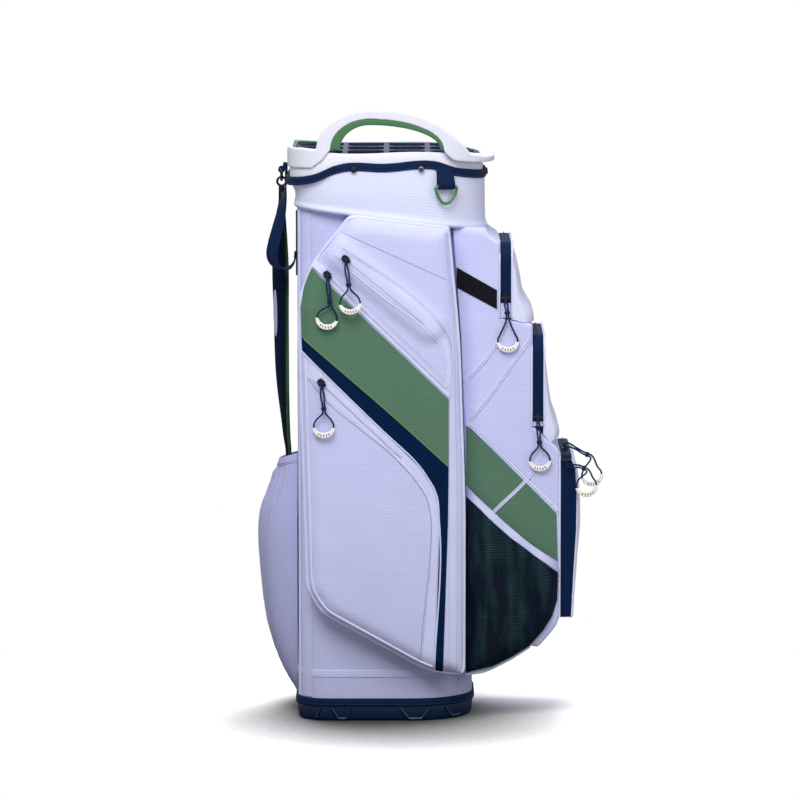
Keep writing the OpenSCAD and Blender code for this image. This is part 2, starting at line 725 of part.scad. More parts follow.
// Zip pull hung on a slider's bar: cord loop, keeper and moulded grip.
// lead runs from the bar to the keeper and hang from there to the grip's centre, in X and Z.
// leave is the way off the bar. A flat pull hangs on a bar across its own plane
module pull(lead, hang, leave = [0, -1], flat = false) {
  wrap = slider_bar_d / 2 + pull_cord_d / 2 + 0.25;
  strand = pull_cord_d / 2 + 0.6;
  keeper_l = 8;
  keeper_d = 4 * strand + 1.6;
  along = unit(lead);
  across = left_of(along) * strand;
  turn = left_of(leave) * wrap;
  down = unit(hang);
  wide = left_of(down);
  centre = lead + hang;
  inner = pull_grip_r * 0.82;
  lift = pull_grip_r * 0.28;
  tip_z = pull_grip_r * 0.09;
  tip_x = (pull_grip_r + inner * cos(asin((lift + tip_z) / inner))) / 2;
  function at(p, y = 0) = [p[0], y, p[1]];
  function strand_side(s) = [
    flat ? at(leave * 6 + turn * s * 0.9) : at(leave * 6 + across * s * 0.3, s * wrap * 0.8),
    at(leave * 5 + lead * 0.3 + across * s * 0.7, flat ? 0 : s * wrap * 0.45),
    for (d = [-keeper_l / 2 - 3, -keeper_l / 2 - 1, 0, keeper_l / 2 + 1, keeper_l / 2 + 2])
      at(lead + along * d + across * s),
    at(centre + wide * s * tip_x * 0.8 - down * 9),
    at(centre + wide * s * tip_x - down * 3),
    at(centre + wide * s * tip_x + down * (tip_z - seat))];
  over = [flat ? at(-turn) : at([0, 0], -wrap), at(-leave * wrap), flat ? at(turn) : at([0, 0], wrap)];
  path = concat(reversed(strand_side(-1)), over, strand_side(1));
  color([0.05, 0.1, 0.2]) loft(swept(blended(path, 2), round_section(pull_cord_d), [0, 1, 0.001]));
  color([0.06, 0.06, 0.08]) translate(at(lead, 0)) rotate([0, atan2(along[0], along[1]), 0]) difference() {
    cylinder(d = keeper_d, h = keeper_l, center = true, $fn = 40);
    for (s = [-1, 1]) translate([s * strand, 0, 0])
      cylinder(d = pull_cord_d + 0.5, h = keeper_l + 2, center = true, $fn = 32);
  }
  tip = asin(tip_z / pull_grip_r);
  inner_tip = asin((lift + tip_z) / inner);
  color([0.93, 0.92, 0.88]) translate(at(centre, pull_grip_t / 2))
    rotate([0, 90 - atan2(-down[1], -down[0]), 0]) rotate([90, 0, 0]) linear_extrude(pull_grip_t)
      polygon(concat(arc([0, 0], pull_grip_r, 180 + tip, 360 - tip, 16),
                     arc([0, lift], inner, 360 - inner_tip, 180 + inner_tip, 14)));
}

side_lead = [2, -37];
side_hang = [1, -27];

module side_slider(side, z) {
  mirrored(side) on_zip(z) slider(zip_turn(z));
}

module side_pull(side, z) {
  mirrored(side) on_zip(z) translate([0, -axis_off, 0]) pull(side_lead, side_hang);
}

// Front pockets

// Ledges under the upper and the middle pocket, in the side view
function upper_ledge(x) = upper_low - 8 * (x - upper_zip_x) / (middle_zip_x - upper_zip_x);
shelf_x = ball_zip_x - 8;
shelf_z = ball_top + 13;
function middle_ledge(x) = middle_low + (shelf_z - middle_low) * (x - middle_zip_x) / (shelf_x - middle_zip_x);

upper_face_x = upper_zip_x + front_zip_w;
middle_face_x = middle_zip_x + front_zip_w;
ball_face_x = ball_zip_x + front_zip_w;
upper_strip = [[upper_zip_x, upper_low + seat], [upper_face_x, upper_ledge(upper_face_x) + seat],
  [upper_face_x, upper_top - 3], [upper_zip_x, upper_top]];
middle_strip = [[middle_zip_x, middle_low + seat], [middle_face_x, middle_ledge(middle_face_x) + seat],
  [middle_face_x, middle_top - 3], [middle_zip_x, middle_top]];
ball_strip = [[ball_zip_x, ball_low], [ball_face_x, ball_low - 2],
  [ball_face_x, ball_top], [ball_zip_x, ball_top]];

function front_outline() =
  [[side_right + clear, 66], [tube_front + 8, 69], [tube_front + 36, 79], [tube_front + 60, 93],
   [ball_zip_x - 43, 111], [ball_zip_x - 33, 108], [ball_zip_x, ball_low - 6],
   [ball_zip_x, ball_top], [shelf_x, shelf_z], [middle_zip_x, middle_low],
   [middle_zip_x, upper_ledge(middle_zip_x)], [upper_zip_x, upper_low],
   [upper_zip_x, upper_top], [tube_front + 24, upper_top + 11],
   [tube_front + 18, cuff_low(tube_front + 18) - 0.5],
   [100, cuff_low(100) - 0.5], [100, pocket_low + 60], [side_right + clear, pocket_low + 30]];

module front_body() {
  color([0.82, 0.83, 0.96]) difference() {
    side_cut(front_outline(), -front_half, front_half);
    d_solid(tube_sec, 0, tube_top, clear);
    side_cut(inset(side_outline(), -clear));
  }
}

module zip_band(strip_pts) {
  color([0.086, 0.16, 0.3]) side_cut(strip_pts, 1 - front_half, front_half - 1);
}

module upper_cover() {
  x = upper_face_x;
  front = x + upper_full;
  color([0.84, 0.85, 0.98])
    cushion([[x, upper_ledge(x) + clear], [front, upper_ledge(front) + clear], [front - 1, upper_low + 4],
             [front - 6, upper_low + 14], [x + 20, upper_low + 30], [x + 13, upper_low + 64],
             [x + 7, upper_top - 22], [x + 3, upper_top - 12], [x, upper_top - 7]],
            [2, 4, 4, 5, 8, 10, 5, 4, 2], front_half, 12);
}

module middle_cover() {
  x = middle_face_x;
  front = x + middle_full;
  color([0.84, 0.85, 0.98])
    cushion([[x, middle_ledge(x) + 2 * clear], [front - 7, middle_ledge(front - 7) + 2], [front, middle_low - 18],
             [front, middle_low - 6], [x + 19, middle_low + 9], [x + 13, middle_low + 29],
             [x + 8.5, middle_low + 54], [x + 6, middle_low + 80], [x + 3, middle_low + 104], [x, middle_top - 6]],
            [2, 6, 5, 5, 8, 10, 10, 10, 8, 2], front_half, 8);
}

module ball_cover() {
  x = ball_face_x;
  front = x + ball_full;
  color([0.84, 0.85, 0.98])
    cushion([[x, ball_low - 2], [x + ball_full * 0.3, ball_low + 2], [x + ball_full * 0.65, ball_low + 74],
             [front, ball_low + 131], [front, ball_top - 63], [front - 3, ball_top - 26],
             [x + ball_full * 0.4, ball_top - 8], [x, ball_top - 2]],
            [2, 6, 30, 20, 20, 10, 6, 2], front_half, 10);
}

// Front sliders: on the near face of the upper, middle and ball zips, and on the ball zip's top

front_upper_at = [upper_zip_x + front_zip_w / 2, upper_low + 31];
front_middle_at = [middle_zip_x + front_zip_w / 2, middle_low + 14];
ball_side_at = [ball_zip_x + front_zip_w / 2, ball_top - 8];
ball_top_at = [ball_zip_x + front_zip_w / 2, -50, ball_top - zip_t];
ball_side_lead = [26, -12];
ball_side_hang = [4, -26];
ball_top_lead = [33, -14];
ball_top_hang = [7, -31];

module on_front(p) {
  translate([p[0], zip_t + 1 - front_half, p[1]]) children();
}

module front_slider(p) {
  on_front(p) slider(90);
}

module front_pull(p, lead, hang) {
  on_front(p) translate([0, -axis_off, 0]) pull(lead, hang);
}

module ball_top_slider() {
  translate(ball_top_at) rotate([-90, 0, 0]) rotate([0, 90, 0]) slider(0);
}

module ball_top_pull() {
  translate(ball_top_at + [0, 0, axis_off]) pull(ball_top_lead, ball_top_hang, [1, 0], true);
}

function mesh_outline() =
  let (x = side_right + 1)
  [[x, 72], [x + 30, 77], [x + 95, 118], [x + 134, 180],
   [x + 137, 222], [x + 90, 258], [x + 44, 299], [x, 336]];

module mesh_pocket() {
  inside = inset(mesh_outline(), cloth_t);
  mouth = [for (k = [0 : 7]) inside[k] + (k >= 4 ? [8, 14] : [0, 0])];
  cuts = [6, 20, 30, 20, 6, 10, 10, 6];
  color([0.05, 0.1, 0.17]) difference() {
    pillow(mesh_outline(), cuts, front_half, front_half + mesh_full, 12, 3);
    pillow(mouth, cuts, front_half - 1, front_half + mesh_full - cloth_t, 11, 3);
  }
}

module glove_patch() {
  rear = side_right - 13.5;
  front = upper_zip_x - 5;
  outline = [for (p = [[rear, 46], [front, 14], [front, 42], [rear, 76]]) [p[0], upper_low + p[1]]];
  color([0.09, 0.09, 0.12]) side_cut(outline, -front_half - patch_t, -front_half);
}

// Spine side

// Rear pouch as [height, fullness, width] from its foot to its mouth, each as a share of the whole
function pouch_ring(full, half, z, n = 14) =
  [for (i = [0 : n]) let (a = 90 + 180 * i / n, c = pow(abs(cos(a)), 0.75))
    [-tube_back - clear - full * c, half * sign(sin(a)) * pow(abs(sin(a)), 0.75), z]];

module spine_pouch() {
  h = pouch_top - pouch_low;
  levels = [[0, 0.08, 0.7], [0.08, 0.4, 0.85], [0.35, 0.86, 1], [0.68, 1, 1], [0.9, 0.66, 0.9],
            [1, 0.47, 0.82]];
  inner = concat([[0.02, 0.03, 0.6]], [for (k = [1 : 5]) levels[k]], [[1.03, 0.46, 0.82]]);
  function form(l, t) =
    pouch_ring(max(pouch_full * l[1] - t, 0.5), pouch_half * l[2] - t, pouch_low + t + h * l[0]);
  color([0.64, 0.65, 0.8]) difference() {
    loft([for (l = levels) form(l, 0)]);
    translate([clear, 0, 0]) loft([for (l = inner) form(l, cloth_t)]);
  }
}

module spine_webbing() {
  color([0.043, 0.118, 0.243]) translate([-tube_back - web_t, grab_y - web_w / 2, cuff_mid - 92])
    cube([web_t, web_w, 95]);
}

// Webbing or pad through stations of [x, z, width, thickness, turn about Z], at one Y
module turned_strap(y, stations) {
  line = [for (p = stations) [p[0], y, p[1]]];
  last = len(line) - 1;
  loft([for (i = [0 : last])
    let (t = unit(line[min(i + 1, last)] - line[max(i - 1, 0)]), side = [-sin(stations[i][4]), cos(stations[i][4]), 0],
         e1 = unit(side - t * (t * side)), e2 = cross(t, e1))
    [for (q = band_section(stations[i][2], stations[i][3])) line[i] + e1 * q[0] + e2 * q[1]]]);
}

// Grab handle: hung from the cuff's binding and sewn on the spine webbing below
module grab_handle() {
  hung = -collar_back - skin_t - web_t / 2 - seat;
  sewn = -tube_back - 1.5 * web_t - 0.1;
  top = rim_z - rear_drop - 2;
  foot = cuff_mid - 69;
  drape = [[hung, top, 0], [hung, top - 7, 0], [hung - 0.3, top - 14, 0], [hung - 2.5, top - 30, 14],
           [hung - 7, top - 54, 32], [hung - 13, top - 80, 44], [hung - 19, top - 103, 46],
           [hung - 21.5, top - 117, 44], [hung - 18.5, top - 130, 36], [hung - 9, top - 138, 24],
           [hung + 2, top - 138.5, 12], [sewn - 4, foot - 9, 4], [sewn - 0.4, foot - 1, 0], [sewn, foot + 5, 0],
           [sewn, foot + 11, 0]];
  color([0.03, 0.09, 0.2])
    turned_strap(grab_y, blended([for (p = drape) [p[0], p[1], web_w - 1, web_t, p[2]]], 3));
}

// Shoulder strap, hung from a ring on the collar and held on a pin inside the pouch

hook_wire = 3.6;
hook_r = 6.5;
hook_gap = 0.6;
hook_z = strap_loop_z - strap_ring_h + strap_wire - (hook_r - hook_wire / 2 - strap_wire / 2 - hook_gap);
barrel_h = 10;
pad_top = hook_z - hook_r - barrel_h;
pad_low = pouch_top - 62;
pin_d = 6;
pin_gap = 0.1;
pin_low = pouch_top - 118;
eye_h = 20;

module strap_loop() {
  at_strap() {
    web_loop(strap_loop_w, strap_bore_w, strap_loop_h, strap_wire);
    color([0.043, 0.118, 0.243]) translate([-strap_loop_w / 2, -seat - tiny, -strap_loop_h])
      cube([strap_loop_w, strap_stand, 2 * strap_loop_h]);
  }
}

module strap_ring() {
  color([0.05, 0.07, 0.12]) at_strap() wire_ring(30, strap_ring_h, strap_wire, 7);
}

module strap_hook() {
  color([0.05, 0.07, 0.12]) {
    translate([strap_x, strap_y, hook_z]) rotate([90, 0, 0])
      rotate_extrude($fn = 48) translate([hook_r, 0]) circle(d = hook_wire, $fn = 24);
    translate([strap_x, strap_y, pad_top]) cylinder(d = 9, h = barrel_h, $fn = 40);
  }
}

// Pad's middle line in the side view, with its width, thickness and turn about Z at each place
function pad_stations() =
  let (top = pad_top - seat, low = pad_low + seat, end_w = strap_w * 0.5, mouth_w = strap_w * 0.68,
       end_t = strap_t * 0.7)
  [[0, top, end_w, end_t, 0], [0, top - 4, end_w, end_t, 0], [0, top - 8, end_w, end_t, 0],
   [-1, top - 34, strap_w * 0.8, strap_t, strap_turn / 2], [-1, top - 84, strap_w, strap_t, strap_turn],
   [0, top - 190, strap_w, strap_t, strap_turn], [2, top - 290, strap_w * 0.9, strap_t, strap_turn * 0.8],
   [7, pouch_top + 24, mouth_w, strap_t * 0.85, strap_turn * 0.3], [9.5, pouch_top - 8, mouth_w, end_t, 0],
   [3, low + 26, mouth_w, end_t, 0], [0, low + 8, end_w, end_t, 0], [0, low + 4, end_w, end_t, 0],
   [0, low, end_w, end_t, 0]];

module strap_pad() {
  color([0.05, 0.11, 0.2])
    turned_strap(strap_y, blended([for (p = pad_stations()) p + [strap_x, 0, 0, 0, 0]], 3));
}

module strap_tail() {
  color([0.043, 0.118, 0.243]) difference() {
    union() {
      translate([strap_x - web_t / 2, strap_y - web_w / 2, pin_low])
        cube([web_t, web_w, pad_low - pin_low]);
      translate([strap_x, strap_y, pin_low]) cylinder(d = pin_d + 2 * web_t, h = eye_h, $fn = 48);
    }
    translate([strap_x, strap_y, pin_low - 1])
      cylinder(d = pin_d + 2 * pin_gap, h = eye_h + 1 + loop_slack, $fn = 48);
  }
}

module strap_anchor() {
  lug = 6;
  plate_t = 3;
  plate_w = 24;
  low = pin_low - clear - lug;
  out = -strap_x - tube_back;
  color([0.05, 0.07, 0.12]) {
    translate([-tube_back - plate_t, strap_y - plate_w / 2, low]) cube([plate_t, plate_w, eye_h + lug]);
    translate([strap_x - pin_d / 2 - 2, strap_y - lug, low]) cube([out + pin_d / 2, 2 * lug, lug]);
    translate([strap_x, strap_y, pin_low - clear - tiny]) cylinder(d = pin_d, h = eye_h, $fn = 48);
  }
}

// The bag

base_tray();
base_binding();
body_tube();
stay_rods();
divider_panels();
cuff();
cuff_binding();
collar_ring();
halo_hoop();
hoop_grip();
rear_grip();
divider_grid();
collar_rivets();
towel_loop();
towel_ring();
side_pocket(NEAR);  // near_side_pocket
side_pocket(FAR);  // far_side_pocket
zip_welt(NEAR);  // near_zip_welt
zip_welt(FAR);  // far_zip_welt
zips(NEAR);  // near_zips
zips(FAR);  // far_zips
front_body();
zip_band(upper_strip);  // upper_zip_band
zip_band(middle_strip);  // middle_zip_band
zip_band(ball_strip);  // ball_zip_band
upper_cover();
middle_cover();
ball_cover();
mesh_pocket();
glove_patch();
spine_pouch();
spine_webbing();
grab_handle();
strap_loop();
strap_ring();
strap_hook();
strap_pad();
strap_tail();
strap_anchor();
side_slider(NEAR, zip_upper);  // near_upper_slider
side_pull(NEAR, zip_upper);  // near_upper_pull
side_slider(NEAR, zip_band);  // near_band_slider
side_pull(NEAR, zip_band);  // near_band_pull
side_slider(NEAR, zip_lower);  // near_lower_slider
side_pull(NEAR, zip_lower);  // near_lower_pull
side_slider(FAR, zip_upper);  // far_upper_slider
side_pull(FAR, zip_upper);  // far_upper_pull
side_slider(FAR, zip_band);  // far_band_slider
side_pull(FAR, zip_band);  // far_band_pull
side_slider(FAR, zip_lower);  // far_lower_slider
side_pull(FAR, zip_lower);  // far_lower_pull
front_slider(front_upper_at);  // front_upper_slider
front_pull(front_upper_at, side_lead, side_hang);  // front_upper_pull
front_slider(front_middle_at);  // front_middle_slider
front_pull(front_middle_at, side_lead, side_hang);  // front_middle_pull
front_slider(ball_side_at);  // ball_side_slider
front_pull(ball_side_at, ball_side_lead, ball_side_hang);  // ball_side_pull
ball_top_slider();
ball_top_pull();
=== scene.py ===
"""Dresses a golf cart bag: cloth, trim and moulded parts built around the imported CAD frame.

Lengths are in millimetres inside the sub-assemblies and become metres when a piece is kept.
X points to the front pockets, -Y to the photographed side and Z up.
"""

import json
import logging
import math
from collections.abc import Callable, Iterable, Sequence
from dataclasses import dataclass
from enum import Enum
from typing import Any

import bmesh
import bpy
from mathutils import Matrix, Vector, noise

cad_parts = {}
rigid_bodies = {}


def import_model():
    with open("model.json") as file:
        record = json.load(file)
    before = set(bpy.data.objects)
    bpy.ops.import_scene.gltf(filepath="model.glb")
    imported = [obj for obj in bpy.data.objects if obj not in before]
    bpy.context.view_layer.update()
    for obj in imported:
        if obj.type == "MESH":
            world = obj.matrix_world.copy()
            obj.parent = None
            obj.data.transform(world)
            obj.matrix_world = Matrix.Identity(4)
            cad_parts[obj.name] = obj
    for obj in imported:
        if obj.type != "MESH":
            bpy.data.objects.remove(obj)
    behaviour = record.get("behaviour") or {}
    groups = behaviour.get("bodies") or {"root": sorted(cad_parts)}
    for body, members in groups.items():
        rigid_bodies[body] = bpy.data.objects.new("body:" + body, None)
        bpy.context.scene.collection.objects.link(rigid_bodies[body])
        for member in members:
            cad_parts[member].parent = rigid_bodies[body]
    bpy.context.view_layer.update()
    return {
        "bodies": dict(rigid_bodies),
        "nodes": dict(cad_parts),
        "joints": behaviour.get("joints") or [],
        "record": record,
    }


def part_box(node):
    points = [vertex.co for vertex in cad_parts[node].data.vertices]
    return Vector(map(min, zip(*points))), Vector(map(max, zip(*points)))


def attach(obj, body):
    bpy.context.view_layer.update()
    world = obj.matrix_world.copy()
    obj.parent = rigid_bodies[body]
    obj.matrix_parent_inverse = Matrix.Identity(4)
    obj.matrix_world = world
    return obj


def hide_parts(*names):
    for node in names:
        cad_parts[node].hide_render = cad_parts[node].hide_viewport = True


LOG = logging.getLogger("golf_bag")
MM = 0.001
WEAVE_UV = "weave"
SHARP_EDGE = 42.0
FINE_RING = 240

Flat = tuple[float, float]
Triple = tuple[float, float, float]
Rgb = tuple[int, int, int]
Colour = tuple[float, float, float, float]
Surface = Callable[[float, float], float]
Level = float | Callable[[float], float]


class Side(Enum):
    """The two long sides of the bag."""

    NEAR = -1
    FAR = 1


class Body(Enum):
    """Bodies that more than one piece rides on."""

    BAG = "bag"
    STRAP = "shoulder_strap"
    RING = "towel_ring"


def linear(rgb: Rgb) -> Colour:
    """Turns a screen colour, from 0 to 255, into a shader colour."""
    parts = [c / 255 for c in rgb]
    return (*[c / 12.92 if c <= 0.04045 else ((c + 0.055) / 1.055) ** 2.4 for c in parts], 1.0)


def operator(operation: str) -> Callable[["Wire", "Wire | float"], "Wire"]:
    """Makes an operator of wires that adds a Math node.

    Args:
        operation: The node's operation.

    Returns:
        A method that joins two values by the node.
    """

    def work(wire: "Wire", other: "Wire | float") -> "Wire":
        """Adds the node."""
        return wire.bench.maths(operation, wire, other)

    return work


class Wire:
    """One socket's value in a material, with operators that add Math nodes."""

    def __init__(self, bench: "Bench", socket: bpy.types.NodeSocket) -> None:
        """Holds a socket and the bench whose tree it belongs to."""
        self.bench = bench
        self.socket = socket

    __add__ = operator("ADD")
    __sub__ = operator("SUBTRACT")
    __mul__ = operator("MULTIPLY")
    __truediv__ = operator("DIVIDE")
    __pow__ = operator("POWER")


class Bench:
    """Builds the nodes of a material or a world."""

    def __init__(self, owner: bpy.types.Material | bpy.types.World) -> None:
        """Clears the owner's nodes.

        Args:
            owner: The material or world to build.
        """
        self.owner = owner
        owner.use_nodes = True
        self.tree = owner.node_tree
        self.tree.nodes.clear()

    def node(self, kind: str, settings: dict[str, Any] | None = None,
             inputs: dict[str | int, Any] | None = None, output: int | str = 0) -> Wire:
        """Adds a node.

        Args:
            kind: The node's type, without the usual first words.
            settings: Properties to set first.
            inputs: Values or wires by socket name or number.
            output: Name or number of the socket to return.

        Returns:
            The chosen output.
        """
        made = self.tree.nodes.new(f"ShaderNode{kind}")
        for key, value in (settings or {}).items():
            setattr(made, key, value)
        for key, value in (inputs or {}).items():
            if isinstance(value, Wire):
                self.tree.links.new(value.socket, made.inputs[key])
            else:
                made.inputs[key].default_value = value
        return Wire(self, made.outputs[output])

    def end(self, shader: Wire, kind: str = "OutputMaterial") -> None:
        """Joins a shader to the surface."""
        made = self.tree.nodes.new(f"ShaderNode{kind}")
        self.tree.links.new(shader.socket, made.inputs["Surface"])

    def maths(self, operation: str, a: Wire | float, b: Wire | float = 0.0) -> Wire:
        """Adds a Math node on one or two values."""
        return self.node("Math", {"operation": operation}, {0: a, 1: b})

    def mix(self, share: Wire | float, a: Any, b: Any) -> Wire:
        """Mixes two colours by the share of the second."""
        return self.node("Mix", {"data_type": "RGBA"}, {0: share, 6: a, 7: b}, 2)

    def weave(self) -> tuple[Wire, Wire]:
        """Gives the two cloth coordinates in metres, across and along the piece.

        Returns:
            The coordinate across and the one along.
        """
        place = self.node("UVMap", {"uv_map": WEAVE_UV})
        return (self.node("SeparateXYZ", None, {0: place}, 0),
                self.node("SeparateXYZ", None, {0: place}, 1))

    def place(self) -> Wire:
        """Gives the Object coordinates in metres."""
        return self.node("TexCoord", None, None, 3)

    def ridge(self, along: Wire, pitch: float, power: float = 1.0) -> Wire:
        """Makes ridges a pitch in millimetres apart, from nought to one, slimmer with more power."""
        turn = self.maths("FRACT", along / (pitch * MM))
        return (self.maths("ABSOLUTE", turn - 0.5) * 2.0) ** power

    def noise(self, size: float, detail: float = 2.0, rough: float = 0.5, squash: float = 1.0) -> Wire:
        """Makes soft noise about one half.

        Args:
            size: Size of its blotches in millimetres.
            detail: Octaves.
            rough: Strength of the finer octaves.
            squash: Factor on the height, under one for upright blotches.

        Returns:
            The noise.
        """
        spot = self.node("VectorMath", {"operation": "MULTIPLY"}, {0: self.place(), 1: (1.0, 1.0, squash)})
        return self.node("TexNoise", None, {"Vector": spot, "Scale": 1 / (size * MM), "Detail": detail,
                                            "Roughness": rough})

    def bump(self, height: Wire, depth: float, under: Wire | None = None) -> Wire:
        """Turns a height from nought to one into a normal, of a depth in millimetres."""
        inputs = {"Height": height, "Strength": 1.0, "Distance": depth * MM}
        return self.node("Bump", None, inputs if under is None else {**inputs, "Normal": under})

    def shade(self, colour: Any, roughness: Wire | float, normal: Wire, specular: float = 0.5,
              metallic: float = 0.0) -> bpy.types.Material:
        """Ends the material in a Principled shader.

        Args:
            colour: Base colour, fixed or varying.
            roughness: Roughness, fixed or varying.
            normal: Surface normal.
            specular: Strength of the sheen.
            metallic: One for bare metal.

        Returns:
            The finished material.
        """
        self.end(self.node("BsdfPrincipled", None, {
            "Base Color": colour, "Roughness": roughness, "Normal": normal, "Specular IOR Level": specular,
            "Metallic": metallic}))
        return self.owner


@dataclass(frozen=True)
class Finish:
    """What a piece is made of: a name, the record's slot it belongs to and its colour."""

    name: str
    slot: str
    rgb: Rgb

    def bench(self) -> Bench:
        """Starts the material."""
        return Bench(bpy.data.materials.new(self.name))

    def tone(self, share: float = 1.0) -> Colour:
        """Gives the colour to a shader, scaled by a share."""
        return linear(tuple(max(0, min(255, round(c * share))) for c in self.rgb))

    def make(self) -> bpy.types.Material:
        """Builds the material."""
        raise NotImplementedError


@dataclass(frozen=True)
class BagCloth(Finish):
    """Woven polyester with a fine square grid of thicker threads."""

    pitch: float = 3.3
    grid: float = 0.5
    roughness: float = 0.66
    specular: float = 0.2
    crease: float = 1.6

    def make(self) -> bpy.types.Material:
        """Builds the cloth from thread ridges, soft folds and uneven shade.

        Returns:
            The finished material.
        """
        b = self.bench()
        across, along = b.weave()
        rows = b.ridge(along, self.pitch, 5)
        columns = b.ridge(across, self.pitch * 1.3, 5) * 0.4
        grid = b.maths("MAXIMUM", rows, columns)
        threads = b.ridge(across, 1.5) * b.ridge(along, 1.5)
        folds = b.noise(48, 3)
        shade = b.mix(grid * self.grid * 0.75, self.tone(), self.tone(0.74))
        shade = b.mix(threads * self.grid * 0.3, shade, self.tone(1.05))
        colour = b.mix((folds - 0.32) * 0.5, shade, self.tone(0.94))
        normal = b.bump(folds, 0.5, b.bump(b.noise(140, 1), self.crease))
        normal = b.bump(grid * self.grid + threads * 0.2, 0.16, normal)
        rough = folds * 0.16 + (self.roughness - 0.08)
        return b.shade(colour, rough, normal, specular=self.specular)


@dataclass(frozen=True)
class CoatedTape(Finish):
    """Smooth coated tape, as on zips and gussets, with close lengthwise ribs."""

    rib: float = 1.1
    roughness: float = 0.55
    specular: float = 0.2

    def make(self) -> bpy.types.Material:
        """Builds the tape from fine ribs and faint shade.

        Returns:
            The finished material.
        """
        b = self.bench()
        across, along = b.weave()
        ribs = b.ridge(across, self.rib) * 0.6 + b.ridge(along, self.rib) * 0.4
        patches = b.noise(30, 2)
        colour = b.mix(patches * 0.6, self.tone(), self.tone(0.9))
        normal = b.bump(ribs, 0.07, b.bump(patches, 0.4))
        rough = patches * 0.14 + (self.roughness - 0.07)
        return b.shade(colour, rough, normal, specular=self.specular)


@dataclass(frozen=True)
class Webbing(Finish):
    """Woven webbing with ribs across and a herringbone of threads."""

    rib: float = 1.6

    def make(self) -> bpy.types.Material:
        """Builds the webbing from crossed ribs.

        Returns:
            The finished material.
        """
        b = self.bench()
        across, along = b.weave()
        ribs = b.ridge(along, self.rib)
        slant = b.ridge(across + along * 0.5, 1.3)
        wear = b.noise(20, 3)
        colour = b.mix(ribs * 0.4, self.tone(), self.tone(1.35))
        colour = b.mix(wear * 0.4, colour, self.tone(0.75))
        normal = b.bump(ribs * 0.7 + slant * 0.3, 0.28)
        return b.shade(colour, wear * 0.2 + 0.6, normal, specular=0.12)


@dataclass(frozen=True)
class SewnWeb(Finish):
    """Webbing of a moulded-in loop, ribbed by height."""

    rib: float = 1.6

    def make(self) -> bpy.types.Material:
        """Builds the webbing from level ribs on Object coordinates.

        Returns:
            The finished material.
        """
        b = self.bench()
        height = b.node("SeparateXYZ", None, {0: b.place()}, 2)
        ribs = b.ridge(height, self.rib)
        wear = b.noise(12, 3)
        colour = b.mix(wear * 0.5, self.tone(), self.tone(0.75))
        return b.shade(colour, wear * 0.2 + 0.6, b.bump(ribs, 0.25), specular=0.12)


@dataclass(frozen=True)
class TopLitMoulding(Finish):
    """Moulding in its own colour up to a height, and lighter above it as a painted highlight on its top
    edges.
    """

    # Colour of the painted highlight on the top edges.
    upper: Rgb = (46, 58, 92)
    height: float = 844.6

    def make(self) -> bpy.types.Material:
        """Builds the moulding from its colour, the painted highlight on its top edges and a fine grain.

        Returns:
            The finished material.
        """
        b = self.bench()
        height = b.node("SeparateXYZ", None, {0: b.place()}, 2)
        # Above the height the colour turns lighter: a painted highlight on the top edges.
        above = b.maths("GREATER_THAN", height, self.height * MM)
        marks = b.noise(30, 3)
        colour = b.mix(above, self.tone(), linear(self.upper))
        return b.shade(colour, marks * 0.2 + 0.4, b.bump(b.noise(0.9), 0.04), specular=0.25)


@dataclass(frozen=True)
class Moulding(Finish):
    """Moulded plastic or rubber with a fine grain and faint scuffs."""

    grain: float = 0.9
    depth: float = 0.04
    roughness: float = 0.42
    scuff: float = 0.3
    specular: float = 0.4

    def make(self) -> bpy.types.Material:
        """Builds the moulding from grain and scuffed roughness.

        Returns:
            The finished material.
        """
        b = self.bench()
        grain = b.noise(self.grain, 2, 0.6)
        marks = b.noise(35, 4, 0.65)
        colour = b.mix(marks * self.scuff, self.tone(), self.tone(0.9))
        rough = marks * 0.2 + (self.roughness - 0.1)
        return b.shade(colour, rough, b.bump(grain, self.depth), specular=self.specular)


@dataclass(frozen=True)
class Metal(Finish):
    """Plated or enamelled metal with fine wear."""

    metallic: float = 1.0
    roughness: float = 0.32

    def make(self) -> bpy.types.Material:
        """Builds the metal from cloudy roughness and tiny dents.

        Returns:
            The finished material.
        """
        b = self.bench()
        cloud = b.noise(6, 3)
        colour = b.mix(cloud * 0.5, self.tone(), self.tone(0.82))
        rough = cloud * 0.2 + (self.roughness - 0.1)
        return b.shade(colour, rough, b.bump(b.noise(1.6), 0.02), metallic=self.metallic)


@dataclass(frozen=True)
class PocketMesh(Finish):
    """Warp-knit mesh: a dark ground with rows of short lit threads, brighter where a fold catches light."""

    pitch: float = 3.7
    row: float = 2.7
    glint: Rgb = (72, 112, 100)

    def make(self) -> bpy.types.Material:
        """Builds the mesh from staggered dashes and upright folds.

        Returns:
            The finished material.
        """
        b = self.bench()
        across, along = b.weave()
        level = along / (self.row * MM)
        stagger = b.maths("FLOOR", level) * 0.5
        place = b.maths("FRACT", across / (self.pitch * MM) + stagger)
        wide = b.maths("LESS_THAN", b.maths("ABSOLUTE", place - 0.5), 0.27)
        tall = b.maths("LESS_THAN", b.maths("ABSOLUTE", b.maths("FRACT", level) - 0.5), 0.24)
        dash = wide * tall
        folds = b.noise(16, 2, 0.5, 0.22)
        lit = b.node("MapRange", None, {"Value": folds, "From Min": 0.42, "From Max": 0.72})
        ground = b.mix(lit * 0.5, self.tone(), self.tone(1.5))
        colour = b.mix(dash * (lit * 0.75 + 0.06), ground, linear(self.glint))
        return b.shade(colour, 0.7, b.bump(dash, 0.4), specular=0.1)


@dataclass(frozen=True)
class LoopPile(Finish):
    """Loop side of a touch fastener: a close matt pile."""

    def make(self) -> bpy.types.Material:
        """Builds the pile from coarse and fine noise.

        Returns:
            The finished material.
        """
        b = self.bench()
        pile = b.noise(1.3, 4, 0.7)
        colour = b.mix(pile * 0.8, self.tone(0.6), self.tone(1.5))
        return b.shade(colour, 0.9, b.bump(pile, 0.7), specular=0.1)


